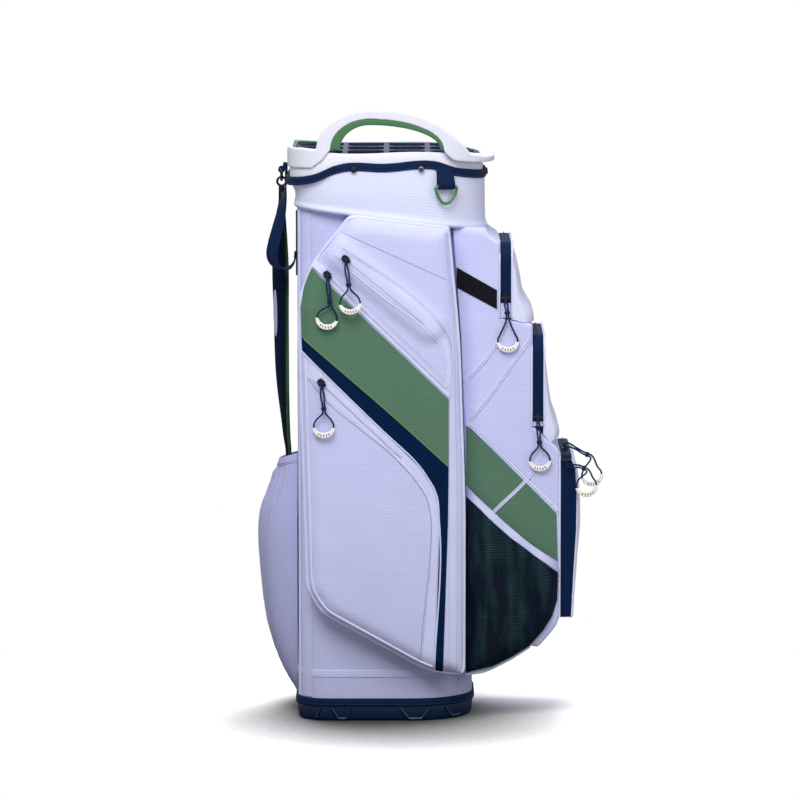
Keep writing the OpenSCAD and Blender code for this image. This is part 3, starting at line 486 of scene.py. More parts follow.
@dataclass(frozen=True)
class Braid(Finish):
    """Braided cord or sewing thread, with slanting strands round it."""

    strand: float = 1.2

    def make(self) -> bpy.types.Material:
        """Builds the braid from two slants of strands.

        Returns:
            The finished material.
        """
        b = self.bench()
        across, along = b.weave()
        slants = [b.ridge(turn, self.strand) for turn in (across + along, across - along)]
        strands = b.maths("MAXIMUM", *slants)
        colour = b.mix(strands, self.tone(0.6), self.tone(1.15))
        return b.shade(colour, 0.6, b.bump(strands, 0.25), specular=0.2)


@dataclass(frozen=True)
class ZipTeeth(Finish):
    """Coil zip: close ridges across its length."""

    pitch: float = 1.3
    valley: float = 0.84

    def make(self) -> bpy.types.Material:
        """Builds the coil from even ridges.

        Returns:
            The finished material.
        """
        b = self.bench()
        _, along = b.weave()
        coil = b.ridge(along, self.pitch)
        colour = b.mix(coil, self.tone(self.valley), self.tone())
        return b.shade(colour, 0.5, b.bump(coil, 0.4), specular=0.2)


NAVY = (8, 30, 66)
GREEN = (91, 127, 104)

# The cuff's white cloth is set brighter than the pocket cloth: painted light, since the cuff tilts down away
# from the key lamp.
CUFF_CLOTH = BagCloth("cuff_ripstop", "white_fabric", (224, 228, 255), grid=0.5)
POCKET_CLOTH = BagCloth("pocket_ripstop", "white_fabric", (208, 211, 253), grid=0.9)
PLAIN_CLOTH = BagCloth("plain_white_cloth", "white_fabric", (209, 212, 252), grid=0.1)
TUBE_CLOTH = BagCloth("tube_ripstop", "white_fabric", (203, 206, 245), grid=0.8)
COVER_CLOTH = BagCloth("cover_cloth", "white_fabric", (222, 225, 252), grid=0.15, crease=2.4)
PIPING = CoatedTape("white_piping", "white_fabric", (222, 226, 255))
# Darker tone of the thin lines beside the piping and under the cuff's fold: painted shade along each seam.
SEAM_SHADE = CoatedTape("sewn_seam", "white_fabric", (184, 186, 226))
WHITE_TAPE = CoatedTape("white_zip_tape", "white_zip", (216, 220, 254))
WHITE_TEETH = ZipTeeth("white_zip_teeth", "white_zip", (218, 222, 252))
GREEN_CLOTH = BagCloth("green_panel_cloth", "white_fabric", GREEN, grid=1.3, specular=0.12)
LIME_PIPING = CoatedTape("lime_piping", "white_fabric", (104, 148, 84))
NAVY_CLOTH = BagCloth("navy_panel_cloth", "white_fabric", (1, 28, 65), grid=0.3, specular=0.06)
NAVY_TAPE = CoatedTape("navy_zip_tape", "navy_zip", (12, 34, 72), specular=0.04)
NAVY_TEETH = ZipTeeth("navy_zip_teeth", "navy_zip", (18, 40, 80))
NAVY_BAND = Webbing("navy_webbing", "navy_webbing", NAVY)
NAVY_LOOP = SewnWeb("navy_loop_web", "navy_webbing", NAVY)
THREAD = Braid("navy_stitching", "navy_webbing", (46, 80, 140))
DARK_THREAD = Braid("dark_stitching", "white_fabric", (96, 98, 138))
BASE = Moulding("base_moulding", "base_plastic", (9, 36, 66), grain=1.2, depth=0.07, roughness=0.42,
                specular=0.35)
COLLAR = Moulding("collar_satin", "collar_plastic", (230, 231, 245), roughness=0.4, scuff=0.08,
                  specular=0.25)
RUBBER = Moulding("green_grip_rubber", "green_rubber", (70, 120, 80), grain=0.7, depth=0.1, roughness=0.6,
                  specular=0.25)
# Club divider: dark navy, with a painted highlight on its top edges.
GRID = TopLitMoulding("divider_satin", "divider_plastic", (8, 25, 52))
LINING = BagCloth("divider_lining", "divider_fabric", (8, 25, 52), grid=0.3, specular=0.08)
STAY = Moulding("stay_rod_glass", "stay_rod", (34, 36, 42), roughness=0.35)
RIVET = Metal("rivet_black", "rivet_metal", (18, 20, 26), metallic=0.4, roughness=0.4)
RIVET_RING = Metal("rivet_gunmetal", "rivet_metal", (110, 114, 122), roughness=0.4)
ENAMEL = Metal("green_enamel", "green_metal", (64, 124, 74), metallic=0.0, roughness=0.35)
MESH = PocketMesh("pocket_mesh", "navy_mesh", (2, 14, 32))
LOOPS = LoopPile("loop_pile", "hook_loop", (20, 20, 26))
PILE_THREAD = Braid("pile_stitching", "hook_loop", (8, 8, 12))
POUCH = BagCloth("pouch_stretch", "pouch_fabric", (180, 183, 224), grid=0.08, roughness=0.75, specular=0.12,
                 crease=3.0)
BLACK_METAL = Metal("black_metal", "black_metal", (20, 24, 34), metallic=0.5, roughness=0.4)
STRAP_CLOTH = BagCloth("strap_cloth", "strap_fabric", (1, 18, 46), grid=0.3, pitch=2.4, specular=0.02)
STRAP_INNER = PocketMesh("strap_spacer_mesh", "strap_fabric", (44, 80, 56), pitch=2.6, row=2.0,
                         glint=(74, 116, 84))
STRAP_PIPING = CoatedTape("strap_piping", "strap_fabric", (5, 9, 18), specular=0.1)
STRAP_INLAY = BagCloth("strap_inlay", "strap_fabric", (186, 188, 224), grid=0.2)
BLACK_PLASTIC = Moulding("black_keeper", "black_plastic", (14, 15, 20), roughness=0.4, specular=0.25)
SLIDER = Metal("slider_black", "zip_metal", (16, 17, 22), metallic=0.4, roughness=0.4)
CORD = Braid("pull_cord", "navy_webbing", (14, 36, 74))
CREAM = Moulding("cream_grip", "pull_grip", (246, 243, 238), grain=0.6, depth=0.05, roughness=0.5, scuff=0.1)
SLOT = Moulding("grip_slot", "pull_grip", (122, 104, 88), roughness=0.7, specular=0.1)


def spaced(points: Sequence[Vector], count: int) -> list[Vector]:
    """Places points evenly along a line.

    Args:
        points: Corners of the line.
        count: Number of equal steps.

    Returns:
        One point more than there are steps.
    """
    runs = [(b - a).length for a, b in zip(points, points[1:])]
    total = sum(runs)
    result: list[Vector] = []
    leg, done = 0, 0.0
    for i in range(count):
        goal = total * i / count
        while leg < len(runs) - 1 and done + runs[leg] < goal:
            done += runs[leg]
            leg += 1
        share = (goal - done) / runs[leg] if runs[leg] else 0.0
        result.append(points[leg].lerp(points[leg + 1], share))
    return result + [points[-1].copy()]


def smooth_line(points: Sequence[Sequence[float]], step: float) -> list[Vector]:
    """Draws a smooth line through points.

    Args:
        points: Places in two or three dimensions.
        step: Greatest distance between the points returned.

    Returns:
        Points along the line.
    """
    spots = [Vector(p) for p in points]
    runs = [max((b - a).length, 1e-6) for a, b in zip(spots, spots[1:])]
    slopes = [(spots[1] - spots[0]) / runs[0]]
    for i in range(1, len(spots) - 1):
        before, after = runs[i - 1], runs[i]
        left = (spots[i] - spots[i - 1]) / before
        right = (spots[i + 1] - spots[i]) / after
        slopes.append((left * after + right * before) / (before + after))
    slopes.append((spots[-1] - spots[-2]) / runs[-1])
    line: list[Vector] = []
    for i, run in enumerate(runs):
        count = max(1, math.ceil(run / step))
        for k in range(count):
            t = k / count
            bend = (t ** 3 - 2 * t ** 2 + t) * run * slopes[i] + (t ** 3 - t ** 2) * run * slopes[i + 1]
            blend = 3 * t ** 2 - 2 * t ** 3
            line.append(spots[i] * (1 - blend) + spots[i + 1] * blend + bend)
    return line + [spots[-1].copy()]


def rounded(outline: Sequence[Flat], cuts: Sequence[float], steps: int = 5) -> list[Flat]:
    """Rounds a polygon's corners.

    Args:
        outline: Corners in order.
        cuts: How far back from each corner its rounding starts.
        steps: Points on each corner, less one.

    Returns:
        The rounded outline.
    """
    result: list[Flat] = []
    count = len(outline)
    for i, cut in enumerate(cuts):
        here = Vector(outline[i])
        before, after = Vector(outline[i - 1]), Vector(outline[(i + 1) % count])
        start = here + (before - here).normalized() * min(cut, (before - here).length * 0.49)
        end = here + (after - here).normalized() * min(cut, (after - here).length * 0.49)
        for k in range(steps + 1):
            t = k / steps
            spot = start * (1 - t) ** 2 + here * 2 * t * (1 - t) + end * t ** 2
            result.append((spot.x, spot.y))
    return result


def drawn_in(outline: Sequence[Flat], distance: float) -> list[Flat]:
    """Moves every edge of a polygon inwards.

    Args:
        outline: Corners, anticlockwise.
        distance: How far the edges move.

    Returns:
        The smaller outline, corner for corner.
    """
    result: list[Flat] = []
    count = len(outline)
    for i in range(count):
        here = Vector(outline[i])
        first = (here - Vector(outline[i - 1])).normalized()
        second = (Vector(outline[(i + 1) % count]) - here).normalized()
        left_a, left_b = Vector((-first.y, first.x)), Vector((-second.y, second.x))
        spot = here + (left_a + left_b) * distance / (1 + left_a.dot(left_b))
        result.append((spot.x, spot.y))
    return result


def ease(t: float) -> float:
    """Runs smoothly from nought to one."""
    t = max(0.0, min(1.0, t))
    return t * t * (3 - 2 * t)


def ripple(spot: Vector, size: float) -> float:
    """Gives smooth noise from about -1 to 1 with blotches of a size in millimetres."""
    return noise.noise(spot / size)


class Profile:
    """A height that follows X along a smooth line."""

    def __init__(self, points: Sequence[Flat], lift: float = 0.0) -> None:
        """Takes the line's points and a height to add to all of them."""
        self.line = smooth_line([(x, z + lift) for x, z in points], 3.0)

    def __call__(self, x: float) -> float:
        """Gives the height at an X.

        Args:
            x: Place along the bag.

        Returns:
            The height, level beyond the line's ends.
        """
        if x <= self.line[0].x:
            return self.line[0].y
        for a, b in zip(self.line, self.line[1:]):
            if x <= b.x:
                return a.y + (b.y - a.y) * (x - a.x) / max(b.x - a.x, 1e-6)
        return self.line[-1].y


@dataclass(frozen=True)
class DSection:
    """Plan of the bag: flat at the back and sides, round at the front."""

    back: float
    front: float
    half: float
    rear_r: float
    front_r: float

    def ring(self, level: Level, grow: float = 0.0, count: int = 160) -> list[Vector]:
        """Draws the plan at a level.

        Args:
            level: Height, fixed or following X.
            grow: How far outside the plan the ring runs.
            count: Points on the ring.

        Returns:
            Points from the middle of the back, anticlockwise seen from above.
        """
        back, front, half = self.back + grow, self.front + grow, self.half + grow
        rear, nose = self.rear_r + grow, self.front_r + grow
        turns = [math.radians(90 * k / 18) for k in range(19)]
        line = [Vector((-back, 0))]
        for t in turns:
            line.append(Vector((rear - back - rear * math.cos(t), rear - half - rear * math.sin(t))))
        for t in turns:
            line.append(Vector((front - nose + nose * math.sin(t), nose - half - nose * math.cos(t))))
        line.append(Vector((front, 0)))
        even = spaced(line, count // 2)
        whole = even + [Vector((p.x, -p.y)) for p in reversed(even[1:-1])]
        return [Vector((p.x, p.y, level(p.x) if callable(level) else level)) for p in whole]

    def reach(self, x: float, grow: float = 0.0) -> float:
        """Gives the half width at an X.

        Args:
            x: Place along the bag.
            grow: Offset outward.

        Returns:
            The half width.
        """
        half = self.half + grow
        rear, nose = self.rear_r + grow, self.front_r + grow
        behind = (rear - self.back - grow) - x
        ahead = x - (self.front + grow - nose)
        if behind > 0:
            return half - rear + math.sqrt(max(rear * rear - behind * behind, 0))
        if ahead > 0:
            return half - nose + math.sqrt(max(nose * nose - ahead * ahead, 0))
        return half

    def between(self, other: "DSection", share: float) -> "DSection":
        """Blends this plan into another.

        Args:
            other: The other plan.
            share: Share of the way to it.

        Returns:
            The plan between them.
        """
        a = (self.back, self.front, self.half, self.rear_r, self.front_r)
        b = (other.back, other.front, other.half, other.rear_r, other.front_r)
        return DSection(*[p + (q - p) * share for p, q in zip(a, b)])


def disc(radius: float, sides: int) -> list[Flat]:
    """Lists points on a circle."""
    turns = [2 * math.pi * k / sides for k in range(sides)]
    return [(radius * math.cos(t), radius * math.sin(t)) for t in turns]


def strap_section(width: float, thick: float, crown: float = 0.0) -> list[Flat]:
    """Lists a webbing's section: flat faces, rounded edges and an optional crown on one face.

    Args:
        width: Width across the faces.
        thick: Thickness.
        crown: Rise of the upper face's middle.

    Returns:
        Points round the section.
    """
    w, t = width / 2, thick / 2
    r = min(t, w) * 0.9
    face = [-w + r, -w * 0.5, 0.0, w * 0.5, w - r]
    upper = [(x, t + crown * (1 - (x / w) ** 2)) for x in reversed(face)]
    lower = [(x, -t) for x in face]
    return [*lower, (w - r * 0.3, -t * 0.7), (w, 0.0), (w - r * 0.3, t * 0.7),
            *upper, (r * 0.3 - w, t * 0.7), (-w, 0.0), (r * 0.3 - w, -t * 0.7)]


class Form:
    """A mesh being shaped with bmesh operators, in millimetres."""

    def __init__(self) -> None:
        """Starts an empty mesh with a map for its weave."""
        self.bm = bmesh.new()
        self.weave = self.bm.loops.layers.uv.new(WEAVE_UV)

    @classmethod
    def from_mesh(cls, mesh: bpy.types.Mesh, scale: float = 1.0) -> "Form":
        """Takes up a mesh's shape, merged where its triangles meet.

        Args:
            mesh: The mesh to copy.
            scale: Factor on its measures.

        Returns:
            The form.
        """
        form = cls()
        form.bm.from_mesh(mesh)
        form.weave = form.bm.loops.layers.uv.get(WEAVE_UV) or form.bm.loops.layers.uv.new(WEAVE_UV)
        bmesh.ops.scale(form.bm, vec=(scale, scale, scale), verts=form.bm.verts)
        bmesh.ops.remove_doubles(form.bm, verts=form.bm.verts, dist=0.01)
        return form

    def skin(self, rings: Sequence[Sequence[Vector]], closed: bool = True, capped: bool = True) -> "Form":
        """Draws a skin by extruding a line of edges from ring to ring.

        Args:
            rings: Lines of points, all of one length.
            closed: Whether each line is a loop.
            capped: Whether open ends are filled.

        Returns:
            This form.
        """
        bm = self.bm

        def whole(ring: Sequence[Vector]) -> list[Vector]:
            """Ends a loop on its first point."""
            return [Vector(p) for p in ring] + ([Vector(ring[0])] if closed else [])

        def spots(points: list[Vector], rise: float) -> list[Flat]:
            """Measures each point's place on the weave.

            Args:
                points: Points of a ring.
                rise: The ring's place along the weave.

            Returns:
                A place for each point.
            """
            run, places = 0.0, [(0.0, rise * MM)]
            for a, b in zip(points, points[1:]):
                run += (b - a).length
                places.append((run * MM, rise * MM))
            return places

        points = whole(rings[0])
        line = [bm.verts.new(p) for p in points]
        edges = [bm.edges.new(pair) for pair in zip(line, line[1:])]
        place = dict(zip(line, spots(points, 0.0)))
        faces: list[bmesh.types.BMFace] = []
        rise = 0.0
        for ring in rings[1:]:
            before, points = points, whole(ring)
            rise += sum((b - a).length for a, b in zip(before, points)) / len(points)
            made = bmesh.ops.extrude_edge_only(bm, edges=edges)["geom"]
            fresh = {g for g in made if isinstance(g, bmesh.types.BMVert)}
            faces += [g for g in made if isinstance(g, bmesh.types.BMFace)]
            line = [next(e.other_vert(v) for e in v.link_edges if e.other_vert(v) in fresh) for v in line]
            edges = [bm.edges.get(pair) for pair in zip(line, line[1:])]
            for vert, point in zip(line, points):
                vert.co = point
            place.update(zip(line, spots(points, rise)))
        for face in faces:
            for loop in face.loops:
                loop[self.weave].uv = place[loop.vert]
        bmesh.ops.remove_doubles(bm, verts=list(place), dist=0.002)
        faces = [f for f in faces if f.is_valid]
        if capped:
            rim = list({e for f in faces for e in f.edges if e.is_boundary})
            caps = bmesh.ops.holes_fill(bm, edges=rim, sides=0)["faces"]
            self.map_flat(caps)
            faces += caps
        bmesh.ops.recalc_face_normals(bm, faces=faces)
        return self

    def map_flat(self, faces: Iterable[bmesh.types.BMFace]) -> None:
        """Maps faces' weave straight along the axis that they face most.

        Args:
            faces: Faces to map.
        """
        for face in faces:
            face.normal_update()
            axis = max(range(3), key=lambda k: abs(face.normal[k]))
            u, v = [(1, 2), (0, 2), (0, 1)][axis]
            for loop in face.loops:
                loop[self.weave].uv = (loop.vert.co[u] * MM, loop.vert.co[v] * MM)

    @classmethod
    def sweep(cls, path: Sequence[Vector], section: Sequence[Flat] | Callable[[float], Sequence[Flat]],
              side: Vector | list[Vector] | None = None, closed: bool = False) -> "Form":
        """Draws a section along a path.

        Args:
            path: Points in space.
            section: Points across and out, or a function of the share of the path that gives them.
            side: The way across, where it is fixed, or one for each point.
            closed: Whether the path is a loop.

        Returns:
            The new form.
        """
        count = len(path)
        rings = []
        across = Vector((0.0, 0.31, 0.95))
        for i, spot in enumerate(path):
            if side is not None:
                across = side[i] if isinstance(side, list) else side
            before = path[(i - 1) % count] if closed else path[max(i - 1, 0)]
            after = path[(i + 1) % count] if closed else path[min(i + 1, count - 1)]
            ahead = (after - before).normalized()
            across = (across - ahead * across.dot(ahead)).normalized()
            out = ahead.cross(across)
            shape = section(i / max(count - 1, 1)) if callable(section) else section
            rings.append([spot + across * a + out * b for a, b in shape])
        if closed:
            rings.append(rings[0])
        return cls().skin(rings, capped=not closed)

    @classmethod
    def tube(cls, path: Sequence[Vector], radius: float, sides: int = 8, closed: bool = False) -> "Form":
        """Draws a round tube along a path."""
        return cls.sweep(path, disc(radius, sides), closed=closed)

    @classmethod
    def panel(cls, outline: Sequence[Flat], surface: Surface, side: Side = Side.NEAR,
              thick: float = 1.0, step: float = 7.0) -> "Form":
        """Cuts a piece of cloth to an outline and lays it on a surface.

        Args:
            outline: Corners in X and Z.
            surface: How far out of the bag's middle plane the piece lies at an X and Z.
            side: The side of the bag.
            thick: Thickness of the cloth.
            step: Spacing of the cuts that let the piece bend.

        Returns:
            The new form.
        """
        form = cls()
        bm = form.bm
        bm.faces.new([bm.verts.new((x, 0, z)) for x, z in outline])
        for axis, values in ((0, [p[0] for p in outline]), (2, [p[1] for p in outline])):
            across = Vector((1, 0, 0)) if axis == 0 else Vector((0, 0, 1))
            for k in range(math.ceil(min(values) / step), math.floor(max(values) / step) + 1):
                bmesh.ops.bisect_plane(bm, geom=[*bm.verts, *bm.edges, *bm.faces], dist=0.01,
                                       plane_co=across * (k * step), plane_no=across)
        form.map_flat(bm.faces)
        top = bmesh.ops.extrude_face_region(bm, geom=bm.faces[:])["geom"]
        raised = {g for g in top if isinstance(g, bmesh.types.BMVert)}
        for vert in bm.verts:
            level = surface(vert.co.x, vert.co.z) + (thick if vert in raised else 0.0)
            vert.co.y = side.value * level
        bmesh.ops.recalc_face_normals(bm, faces=bm.faces)
        return form

    def bead(self, spot: Vector, ahead: Vector, out: Vector, size: Sequence[float]) -> None:
        """Adds a small rounded lump, such as a stitch.

        Args:
            spot: Its middle.
            ahead: The way it lies.
            out: The way off the cloth.
            size: Half its length, width and height.
        """
        ahead = ahead.normalized()
        out = (out - ahead * out.dot(ahead)).normalized()
        turn = Matrix((ahead, out.cross(ahead), out)).transposed().to_4x4()
        matrix = Matrix.Translation(spot) @ turn @ Matrix.Diagonal((*size, 1.0))
        bmesh.ops.create_icosphere(self.bm, subdivisions=1, radius=1.0, matrix=matrix)

    @classmethod
    def stitches(cls, path: Sequence[Vector], out: Vector | Callable[[Vector], Vector], pitch: float = 5.0,
                 length: float = 3.0, width: float = 0.5) -> "Form":
        """Sews a row of stitches along a path.

        Args:
            path: Points on the cloth.
            out: The way off the cloth, fixed or by place.
            pitch: Distance from stitch to stitch.
            length: Length of a stitch.
            width: Half its width.

        Returns:
            The new form.
        """
        form = cls()
        total = sum((b - a).length for a, b in zip(path, path[1:]))
        spots = spaced(path, max(2, round(total / pitch)))
        for a, b in zip(spots, spots[1:]):
            middle = (a + b) / 2
            away = out(middle) if callable(out) else out
            form.bead(middle, b - a, away, (length / 2, width, width * 0.8))
        return form

    def islands(self) -> list[Vector]:
        """Finds the middle of each separate lump, and lets the mesh go.

        Returns:
            The middles.
        """
        left = set(self.bm.verts)
        middles = []
        while left:
            lump, edge = set(), [left.pop()]
            while edge:
                vert = edge.pop()
                lump.add(vert)
                near = {e.other_vert(vert) for e in vert.link_edges} & left
                left -= near
                edge += near
            middles.append(sum((v.co for v in lump), Vector()) / len(lump))
        self.bm.free()
        return middles

    def join(self, *others: "Form") -> "Form":
        """Takes other forms into this one.

        Args:
            others: Forms to take in, which are freed.

        Returns:
            This form.
        """
        for other in others:
            mesh = bpy.data.meshes.new("joining")
            other.bm.to_mesh(mesh)
            self.bm.from_mesh(mesh)
            bpy.data.meshes.remove(mesh)
            other.bm.free()
        return self

    def carved(self, cutter: "Form | None" = None, operation: str = "DIFFERENCE", voxel: float = 0.0,
               passes: int = 0) -> "Form":
        """Cuts this form with another and rounds the result.

        Args:
            cutter: The other form, if any.
            operation: What is done with it.
            voxel: Size of the even mesh drawn over the result, or nought for none.
            passes: How often that mesh is smoothed.

        Returns:
            The new form.
        """
        made = []
        for form in (self, cutter):
            if form is None:
                continue
            mesh = bpy.data.meshes.new("carving")
            form.bm.to_mesh(mesh)
            made.append(bpy.data.objects.new("carving", mesh))
            bpy.context.scene.collection.objects.link(made[-1])
            form.bm.free()
        block = made[0]
        if cutter is not None:
            cut = block.modifiers.new("cut", "BOOLEAN")
            cut.object, cut.operation, cut.solver = made[1], operation, "EXACT"
        if voxel:
            even = block.modifiers.new("even", "REMESH")
            even.mode, even.voxel_size = "VOXEL", voxel
        if passes:
            soft = block.modifiers.new("soft", "SMOOTH")
            soft.factor, soft.iterations = 0.5, passes
        graph = bpy.context.evaluated_depsgraph_get()
        result = Form.from_mesh(block.evaluated_get(graph).to_mesh())
        for item in made:
            mesh = item.data
            bpy.data.objects.remove(item)
            bpy.data.meshes.remove(mesh)
        return result


class Workshop:
    """Keeps finished forms as pieces and dresses the frame's own nodes."""

    def __init__(self, frame: dict[str, Any]) -> None:
        """Holds the loaded frame.

        Args:
            frame: The frame's nodes and joints.
        """
        self.frame = frame
        self.joints = {joint["name"]: joint for joint in frame["joints"]}
        self.materials: dict[str, bpy.types.Material] = {}

    def material(self, finish: Finish) -> bpy.types.Material:
        """Gives a finish's material, built once.

        Args:
            finish: The finish.

        Returns:
            The material.
        """
        if finish.name not in self.materials:
            self.materials[finish.name] = finish.make()
        return self.materials[finish.name]

    def keep(self, form: Form, name: str, finish: Finish, body: Body | str = Body.BAG,
             replaces: Sequence[str] = ()) -> bpy.types.Object:
        """Makes a form a piece of the bag.

        Args:
            form: The shape, in millimetres.
            name: The piece's name.
            finish: What it is made of.
            body: The body it rides on.
            replaces: Nodes of the frame that it stands for.

        Returns:
            The new object.
        """
        bmesh.ops.scale(form.bm, vec=(MM, MM, MM), verts=form.bm.verts)
        mesh = bpy.data.meshes.new(name)
        form.bm.to_mesh(mesh)
        form.bm.free()
        mesh.polygons.foreach_set("use_smooth", [True] * len(mesh.polygons))
        mesh.set_sharp_from_angle(angle=math.radians(SHARP_EDGE))
        mesh.materials.append(self.material(finish))
        piece = bpy.data.objects.new(name, mesh)
        bpy.context.scene.collection.objects.link(piece)
        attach(piece, body.value if isinstance(body, Body) else body)
        if replaces:
            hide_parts(*replaces)
        LOG.info("%s: %d faces of %s", name, len(mesh.polygons), finish.name)
        return piece

    def dress(self, finish: Finish, *nodes: str) -> None:
        """Gives nodes of the frame a finish.

        Args:
            finish: The finish.
            nodes: Names in the frame.
        """
        for name in nodes:
            node = self.frame["nodes"][name]
            for slot in node.material_slots:
                slot.material = self.material(finish)
            if not node.material_slots:
                node.data.materials.append(self.material(finish))
            LOG.info("%s: frame node in %s", name, finish.name)

    def pivot(self, joint: str) -> Vector:
        """Gives a joint's place in millimetres."""
        return Vector(self.joints[joint]["pos_m"]) / MM


@dataclass
class Studio:
    """Camera, floor and soft light."""

    aim: Triple = (0.024, 0.0, 0.4667)
    eye: Triple = (0.024, -8.0, 1.40)
    lens: float = 242.0
    lamps: tuple[tuple[str, Triple, float, float], ...] = (
        ("key", (-0.45, -1.95, 2.7), 1.6, 69.0), ("fill", (2.6, -2.2, 1.8), 2.2, 27.0),
        ("top", (0.0, 0.3, 3.2), 1.8, 26.0), ("back", (-1.5, 3.0, 2.2), 2.4, 10.0))
    floor_radius: float = 60.0
    floor_tone: float = 0.5
    floor_seen: float = 2.1
    white_from: float = 0.35
    white_at: float = 0.8
    # Reach, lean and power of the painted shadow on the floor.
    shade_reach: float = 0.4
    shade_lean: Triple = (0.24, 0.86, 0.42)
    shade_power: float = 3.2
    sky_light: float = 0.25
    sky_colour: Colour = (0.985, 0.988, 1.0, 1.0)

    def build(self) -> None:
        """Sets up the camera, the floor, the lamps and the world."""
        scene = bpy.context.scene
        scene.view_settings.view_transform = "Standard"
        camera = bpy.data.objects.new("camera", bpy.data.cameras.new("camera"))
        camera.data.lens = self.lens
        camera.data.sensor_width = 36.0
        camera.data.clip_end = 200.0
        self.hang(camera, self.eye)
        scene.camera = camera
        self.floor()
        for name, spot, size, power in self.lamps:
            light = bpy.data.lights.new(name, "AREA")
            light.energy = power
            light.size = size
            self.hang(bpy.data.objects.new(name, light), spot)
        self.world()

    def hang(self, item: bpy.types.Object, spot: Triple) -> None:
        """Hangs the camera or a lamp at a place, facing the bag.

        Args:
            item: The camera or lamp.
            spot: Its place in metres.
        """
        item.location = spot
        item.rotation_euler = (Vector(self.aim) - Vector(spot)).to_track_quat("-Z", "Y").to_euler()
        bpy.context.scene.collection.objects.link(item)

    def floor(self) -> None:
        """Lays a pale floor that keeps the cast shadow near the bag, darkened there by a painted shadow from
        occlusion, and looks white elsewhere.
        """
        bm = bmesh.new()
        bmesh.ops.create_circle(bm, cap_ends=True, segments=96, radius=self.floor_radius)
        mesh = bpy.data.meshes.new("floor")
        bm.to_mesh(mesh)
        bm.free()
        b = Bench(bpy.data.materials.new("pale_floor"))
        reach = b.node("VectorMath", {"operation": "LENGTH"}, {0: b.place()}, 1)
        far = b.node("MapRange", {"interpolation_type": "SMOOTHSTEP"},
                     {"Value": reach, "From Min": self.white_from, "From Max": self.white_at})
        seen = b.node("LightPath", None, None, "Is Camera Ray")
        # Occlusion from a leaning hemisphere darkens the floor's colour: a painted shadow round the bag,
        # falling mostly in front of it.
        lean = b.node("CombineXYZ", None, dict(enumerate(self.shade_lean)))
        painted_occlusion = b.node("AmbientOcclusion", {"samples": 16},
                          {"Distance": self.shade_reach, "Normal": lean}, 1)
        tone = (seen * self.floor_seen + self.floor_tone) * painted_occlusion ** self.shade_power
        paint = b.node("BsdfDiffuse", None,
                       {"Color": b.node("CombineColor", None, {0: tone, 1: tone, 2: tone})})
        glow = b.node("Emission", None, {"Color": (1.0, 1.0, 1.0, 1.0), "Strength": 1.0})
        b.end(b.node("MixShader", None, {0: far * seen, 1: paint, 2: glow}))
        mesh.materials.append(b.owner)
        floor = bpy.data.objects.new("floor", mesh)
        bpy.context.scene.collection.objects.link(floor)

    def world(self) -> None:
        """Sets an even pale sky that looks white to the camera."""
        b = Bench(bpy.data.worlds.new("studio"))
        camera, glossy, glass = (b.node("LightPath", None, None, f"Is {kind} Ray")
                                 for kind in ("Camera", "Glossy", "Transmission"))
        seen = b.maths("MAXIMUM", camera, b.maths("MAXIMUM", glossy, glass))
        level = b.node("MapRange", None, {"Value": seen, "To Min": self.sky_light, "To Max": 1.0})
        b.end(b.node("Background", None, {"Color": self.sky_colour, "Strength": level}), "OutputWorld")
        bpy.context.scene.world = b.owner


TUBE = DSection(128, 132, 115, 45, 88)
RIM = DSection(139, 147, 128, 60, 100)
LIP = DSection(142.5, 164, 131.5, 63.5, 103.5)
CUFF_FOOT = DSection(130.3, 153, 125, 49, 96)
RIM_Z = 846.0
BINDING_LINE = Profile([(-160, -38.5), (-139, -37.5), (-101, -31), (-72, -18.5), (-60, -15.5), (0, -15.5),
                        (80, -13), (107, -22.5), (121, -25), (147, -29), (165, -30)], RIM_Z)
RIM_LINE = Profile([(-145, 8), (-139, 7), (-104, 3), (-74, 0), (85, 0), (125, -5), (150, -8), (165, -9)],
                   RIM_Z)


def off_axis(spot: Vector) -> Vector:
    """Points outwards from the bag's upright middle line."""
    return Vector((spot.x * 0.9, spot.y, 0)).normalized()


@dataclass
class FootTray:
    """Moulded base with slanting ribs, and the binding sewn above it."""

    shop: Workshop
    height: float = 22.0
    binding_top: float = 34.0
    binding_thick: float = 2.5
    ribs: tuple[tuple[Flat, ...], ...] = (
        ((-100, 4), (-94, 20)), ((-78, 19), (-68, 3), (-55, 3), (-48, 19)),
        ((24, 19.5), (37, 3), (56, 3), (69.5, 19.5)), ((91, 19.5), (100.5, 4.5), (113, 5)))

    def build(self) -> None:
        """Builds the tray, its ribs and its binding."""
        levels = [(1.2, -40), (0, -38.5), (0, -4.2), (0.5, -2.8), (1.8, -1.7), (5, -0.8), (19.5, 0.9),
                  (21.4, 0.7), (22, -0.6), (22, -9)]
        tray = Form().skin([TUBE.ring(z, grow) for z, grow in levels])
        for corners in self.ribs:
            for side in Side:
                tray.join(Form.tube(self.rib(corners, side), 2.1, 6))
        self.shop.keep(tray, "base_moulding", BASE, replaces=["base_tray"])
        self.bind()

    @staticmethod
    def rib(corners: Sequence[Flat], side: Side) -> list[Vector]:
        """Lays a rib on the tray's wall."""
        line = spaced([Vector(c) for c in corners], 24)
        return [Vector((p.x, side.value * TUBE.reach(p.x, 0.12 * p.y - 1.4), p.y)) for p in line]

    def bind(self) -> None:
        """Sews the webbing round the foot of the tube."""
        t = self.binding_thick
        edge = [(self.height, 0.2), (self.height, t), (self.height + 1, t + 0.6), (self.height + 6, t + 0.9),
                (self.binding_top - 1, t + 0.5), (self.binding_top, t - 0.4), (self.binding_top, 0.2)]
        rings = [TUBE.ring(z, grow) for z, grow in edge]
        self.shop.keep(Form().skin([*rings, rings[0]], capped=False), "foot_binding", NAVY_BAND,
                       replaces=["base_binding"])
        ring = TUBE.ring(self.height + 3.4, t + 0.8)
        rows = Form.stitches([*ring, ring[0]], off_axis, 5.5, 3.4, 0.45)
        self.shop.keep(rows, "foot_binding_stitches", THREAD)


